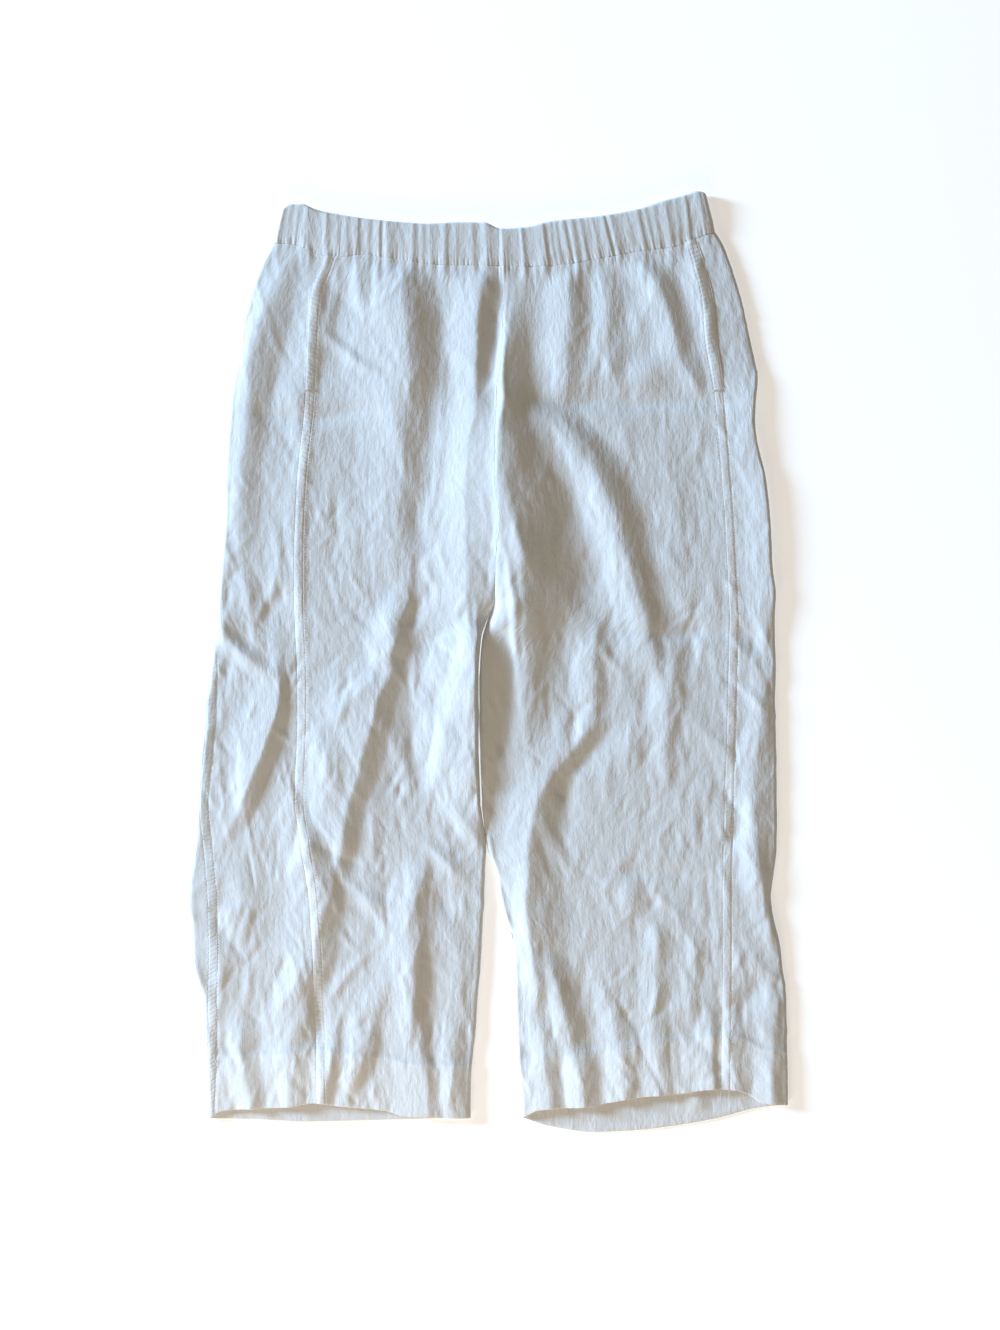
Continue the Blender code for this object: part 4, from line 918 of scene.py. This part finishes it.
def waistband():
    """The band as a closed ring: its profile runs up the outer face, round the folded top edge, down the
    inner face and round the lower edge, at each place round the garment."""
    width = WAIST["low_x"][-1] - WAIST["low_x"][0]
    near = BAND_ROUND * (1.0 - np.cos(np.linspace(0.0, np.pi / 2.0, 9)[:-1]))
    top, floor = (
        np.concatenate((near, np.linspace(BAND_ROUND, width - BAND_ROUND, steps), width - near[::-1]))
        for steps in (BAND_FRONT_STEPS, BAND_BACK_STEPS)
    )
    floor = floor[::-1][1:-1]
    across = np.concatenate((top, floor))
    over = np.concatenate((np.ones(len(top), bool), np.zeros(len(floor), bool)))
    rib = WAIST["low_x"][0] + across
    top_x = curve(rib, WAIST["low_x"], WAIST["top_x"])
    ends_x, ends_y = WAIST["top_x"][[0, -1]], WAIST["top_y"][[0, -1]]
    end = (top_x > BACK_TOP_DIP[0]).astype(int)
    out = (top_x - BACK_TOP_DIP[0]) / (ends_x[end] - BACK_TOP_DIP[0])
    back_y = BACK_TOP_DIP[1] + (ends_y[end] - BACK_TOP_DIP[1]) * out ** 2
    low = np.stack((rib, waist_seam(rib, over)), axis=-1)
    high = np.stack((top_x, np.where(over, curve(rib, WAIST["low_x"], WAIST["top_y"]), back_y)), axis=-1)
    fold = (BAND_FLOOR + BAND_TOP) / 2.0
    share = share_of_height(across, BAND_ROUND) * share_of_height(width - across, BAND_ROUND)
    up = np.linspace(0.0, 1.0, 26)[:, None]
    flat = low + (high - low) * up[..., None]
    swell = 0.0007 * np.sin(np.pi * up)
    fine = fine_pleats(rib) * bell(up, 0.17 + 0.09 * np.sin(rib / 0.0083))
    centre_seam = 0.0002 * bell(rib - BAND_SEAM, 0.0014)
    drawn_up = GATHER_SHARE * gathers(rib, up) * (1.0 - 0.35 * up) + PLEAT_SHARE * fine + BAND_TILT * up
    level = np.where(over, BAND_TOP + swell + drawn_up - centre_seam, BAND_FLOOR)
    middle = np.concatenate((flat, (fold + (level - fold) * share)[..., None]), axis=-1)
    closed = np.concatenate((middle[:, -1:], middle, middle[:, :1]), axis=1)
    round_way = np.gradient(closed, axis=1)[:, 1:-1]
    outwards = unit(np.cross(round_way, np.gradient(middle, axis=0)))
    top_edge = np.clip((up - 0.94) / 0.06, 0.0, 1.0)
    thick = BAND_THICK / 2.0 * (0.35 + 0.65 * smooth(up / 0.3)) * np.sqrt(1.0 - top_edge**2)
    outer = middle + outwards * thick[..., None]
    inner = middle - outwards * thick[..., None]
    return np.concatenate((outer, inner[::-1][1:-1]))


ring = waistband()
count = ring.shape[1]
index = np.arange(ring.size // 3).reshape(-1, count)
below, beside = np.roll(index, -1, axis=0), np.roll(index, -1, axis=1)
diagonal = np.roll(below, -1, axis=1)
corners = np.stack((index, beside, diagonal, below), axis=-1).reshape(-1, 4)
uv = cut_map(np.concatenate((ring, ring[:, :1]), axis=1))[:, :count]
mesh, ends = smooth_mesh("waistband_linen", ring, corners, uv, plain_felt(ring), LINEN)
band = placed(mesh, (ends < count).all(axis=1))
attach(band, "root")
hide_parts("waistband")

# ------------------------------------------------------------------------------
# In-seam pocket bags of thin plain cloth, hidden under the fronts and sewn into the forward side seams at the
# pocket mouths. Each bag's two layers are one wall.
# ------------------------------------------------------------------------------
POCKET_WIDTH, POCKET_TOP, POCKET_BOTTOM = 0.150, 0.388, 0.140
POCKET_CLOTH = 0.0004
POCKET_COLOUR = (0.800, 0.812, 0.815, 1.0)
POCKETING = linen("pocketing", POCKET_COLOUR, POCKET_COLOUR)


def pocket_bag(leg, rows=80, count=50):
    """Grid of a bag: the front's own surface, moved in under it, from the side seam inwards; its lower
    corner is a quarter of an ellipse."""
    down = np.linspace(0.0, 1.0, rows)[:, None]
    across = np.linspace(1.0, 0.0, count)[None, :]
    y = POCKET_TOP - (POCKET_TOP - POCKET_BOTTOM) * down + np.zeros(count)
    rounded = np.sqrt(1.0 - np.clip((down - 0.72) / 0.28, 0.0, 0.96) ** 2)
    distance = front_seam_distance(leg, y) + 0.0012 + POCKET_WIDTH * rounded * across
    over = np.ones(y.shape, bool)
    points = lie(leg, over, distance, y, y + 0.45)
    return points - (CLOTH + 0.0005) * normals_of(points, leg["side"])


for leg in (WEARER_RIGHT, WEARER_LEFT):
    points = pocket_bag(leg)
    name = "pocket_bag_" + leg["name"]
    bag = cloth_mesh(name + "_cloth", points, plain_felt(points), leg["side"], POCKET_CLOTH, POCKETING)
    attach(bag, "root")
    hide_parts(name)

# ------------------------------------------------------------------------------
# Topstitching: white thread, two rows down the band beside each side seam and one row round each hem, with
# bar tacks across the lower ends of the pocket mouths.
# ------------------------------------------------------------------------------
STITCH_PITCH = 0.0030
AHEAD_AND_BEHIND = np.array((0.0004, 0.0, -0.0004))  # places about a stitch that give its direction
NEAR_HEM_ROW = -0.395  # about where a hem's row of stitches lies
STITCH = {"length": 0.0023, "width": 0.00050, "height": 0.00026}
BAR_TACK = {"length": 0.0022, "width": 0.00050, "height": 0.00040}


def surface(leg, ways, y):
    """Outer face of a leg's cloth at a grid of ways round the outer fold and stations, with its normals."""
    over, distance = round_a_fold(ways)
    x = outline(leg, y)[0] - leg["side"] * distance
    above_hem = y - hem_line(leg, x, over)
    points, outwards = worn(leg, over, distance, x, y, above_hem)
    return points + CLOTH / 2.0 * outwards, outwards


def stitch_points(places, onwards, outwards, size):
    """A lozenge of thread at each place: a point at each end and two square rings between them."""
    along = unit(onwards)
    beside = np.cross(outwards, along)
    ring = np.array([(-0.5, 0.0), (0.0, 1.0), (0.5, 0.0), (0.0, -0.6)])
    stations = [(-0.5, 0.0)] + [(-0.28, 1.0)] * 4 + [(0.28, 1.0)] * 4 + [(0.5, 0.0)]
    turns = np.concatenate(([(0.0, 0.0)], ring, ring, [(0.0, 0.0)]))
    length, full = np.array(stations).T
    return (
        places[:, None]
        + along[:, None] * (size["length"] * length)[None, :, None]
        + beside[:, None] * (size["width"] * full * turns[:, 0])[None, :, None]
        + outwards[:, None] * (size["height"] * full * turns[:, 1])[None, :, None]
    )


def thread_piece(name, groups):
    """One piece from groups of stitches, each group an array of lozenges of ten points."""
    points = np.concatenate(groups)
    start = 10 * np.arange(len(points))[:, None, None]
    k = np.arange(4)
    after = (k + 1) % 4
    near_end = np.stack((0 * k, 1 + k, 1 + after), axis=-1)
    far_end = np.stack((9 + 0 * k, 5 + after, 5 + k), axis=-1)
    sides = np.stack((1 + k, 5 + k, 5 + after, 1 + after), axis=-1)
    triangles = (start + np.concatenate((near_end, far_end))[None]).reshape(-1, 3)
    quads = (start + sides[None]).reshape(-1, 4)
    mesh = bpy.data.meshes.new(name)
    mesh.from_pydata(points.reshape(-1, 3).tolist(), [], triangles.tolist() + quads.tolist())
    mesh.polygons.foreach_set("use_smooth", np.ones(len(mesh.polygons), bool))
    mesh.materials.append(THREAD)
    made = placed(mesh)
    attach(made, "root")


def seam_row(leg, seam_way, offset, high, low):
    """Stitches down a leg at this offset from a seam."""
    y = np.arange(high, low, -STITCH_PITCH)[:, None] * np.ones(3)
    ways = seam_way(leg, y) + offset + AHEAD_AND_BEHIND
    points, outwards = surface(leg, ways, y)
    return stitch_points(points[:, 1], np.gradient(points[:, 1], axis=0), outwards[:, 1], STITCH)


def hem_row(leg):
    """Stitches round a leg at the top of its turn-up, from the inner fold over the top and back underneath."""
    width = outline(leg, np.array(NEAR_HEM_ROW))[2] - 0.004
    ways = np.arange(way_round(True, width), way_round(False, width), -STITCH_PITCH)[None, :] * np.ones((3, 1))
    over, distance = round_a_fold(ways)
    y = np.full(ways.shape, NEAR_HEM_ROW)
    for _ in range(3):
        x = outline(leg, y)[0] - leg["side"] * distance
        y = hem_line(leg, x, over) + HEM_DEPTH - HEM_ROW_DOWN + AHEAD_AND_BEHIND[:, None]
    points, outwards = surface(leg, ways, y)
    return stitch_points(points[1], np.gradient(points[1], axis=0), outwards[1], STITCH)


def bar_tack(leg):
    """Close-set upright stitches across the seam's band at the foot of a pocket's mouth."""
    steps = np.linspace(BAND_WIDTH, 0.0, 13)
    y = np.full((3, len(steps)), MOUTH_LOW) + AHEAD_AND_BEHIND[:, None]
    ways = front_seam_way(leg, y) + steps
    points, outwards = surface(leg, ways, y)
    return stitch_points(points[1], points[0] - points[2], outwards[1], BAR_TACK)


THREAD = plain_finish("thread", {"Base Color": (0.86, 0.87, 0.87, 1.0), "Roughness": 0.6})
for leg in (WEARER_RIGHT, WEARER_LEFT):
    front_rows = [seam_row(leg, front_seam_way, row, 0.400, -0.440) for row in STITCH_ROWS]
    thread_piece("front_seam_stitches_" + leg["name"], front_rows + [bar_tack(leg)])
    back_rows = [seam_row(leg, back_seam_way, -row, 0.400, -0.430) for row in STITCH_ROWS]
    thread_piece("back_seam_stitches_" + leg["name"], back_rows)
    thread_piece("hem_stitches_" + leg["name"], [hem_row(leg)])

# ------------------------------------------------------------------------------
# A pale floor, cool light from a window low on the wearer's right, a weak warm lamp towards the hems, and the
# camera straight above.
# ------------------------------------------------------------------------------
floor_mesh = bpy.data.meshes.new("floor")
floor_mesh.from_pydata([(-4, -4, 0), (4, -4, 0), (4, 4, 0), (-4, 4, 0)], [], [(0, 1, 2, 3)])
FLOOR_VALUES = {
    "Base Color": (0.95, 0.95, 0.95, 1.0), "Roughness": 1.0, "Specular IOR Level": 0.0,
    "Emission Color": (1.0, 1.0, 1.0, 1.0), "Emission Strength": 0.42,
}
floor_mesh.materials.append(plain_finish("floor", FLOOR_VALUES))
placed(floor_mesh)


def area_light(name, place, target, size, power, colour):
    """A round soft light at a place, turned to its target."""
    data = bpy.data.lights.new(name, "AREA")
    data.shape, data.size, data.energy, data.color = "DISK", size, power, colour
    lamp = placed(data)
    lamp.location = place
    lamp.rotation_euler = (Vector(target) - Vector(place)).to_track_quat("-Z", "Y").to_euler()


area_light("window", (-6.3, 1.81, 1.64), (0.0, 0.0, 0.0), size=1.7, power=1030.0, colour=(0.50, 0.725, 1.0))
area_light("lamp", (-0.5, -1.6, 0.7), (0.0, -0.42, 0.0), size=0.8, power=12.5, colour=(1.0, 0.88, 0.75))
world = bpy.data.worlds.new("room")
world.use_nodes = True
sky = world.node_tree.nodes["Background"].inputs
sky["Color"].default_value = (1.0, 0.84, 0.62, 1.0)
sky["Strength"].default_value = 0.248
bpy.context.scene.world = world

camera_data = bpy.data.cameras.new("camera")
camera_data.lens = 50.0
camera_data.sensor_width = 36.0
camera = placed(camera_data)
camera.location = (0.012, -0.0025, 1.852)  # straight above
bpy.context.scene.camera = camera
bpy.context.scene.view_settings.view_transform = "Standard"
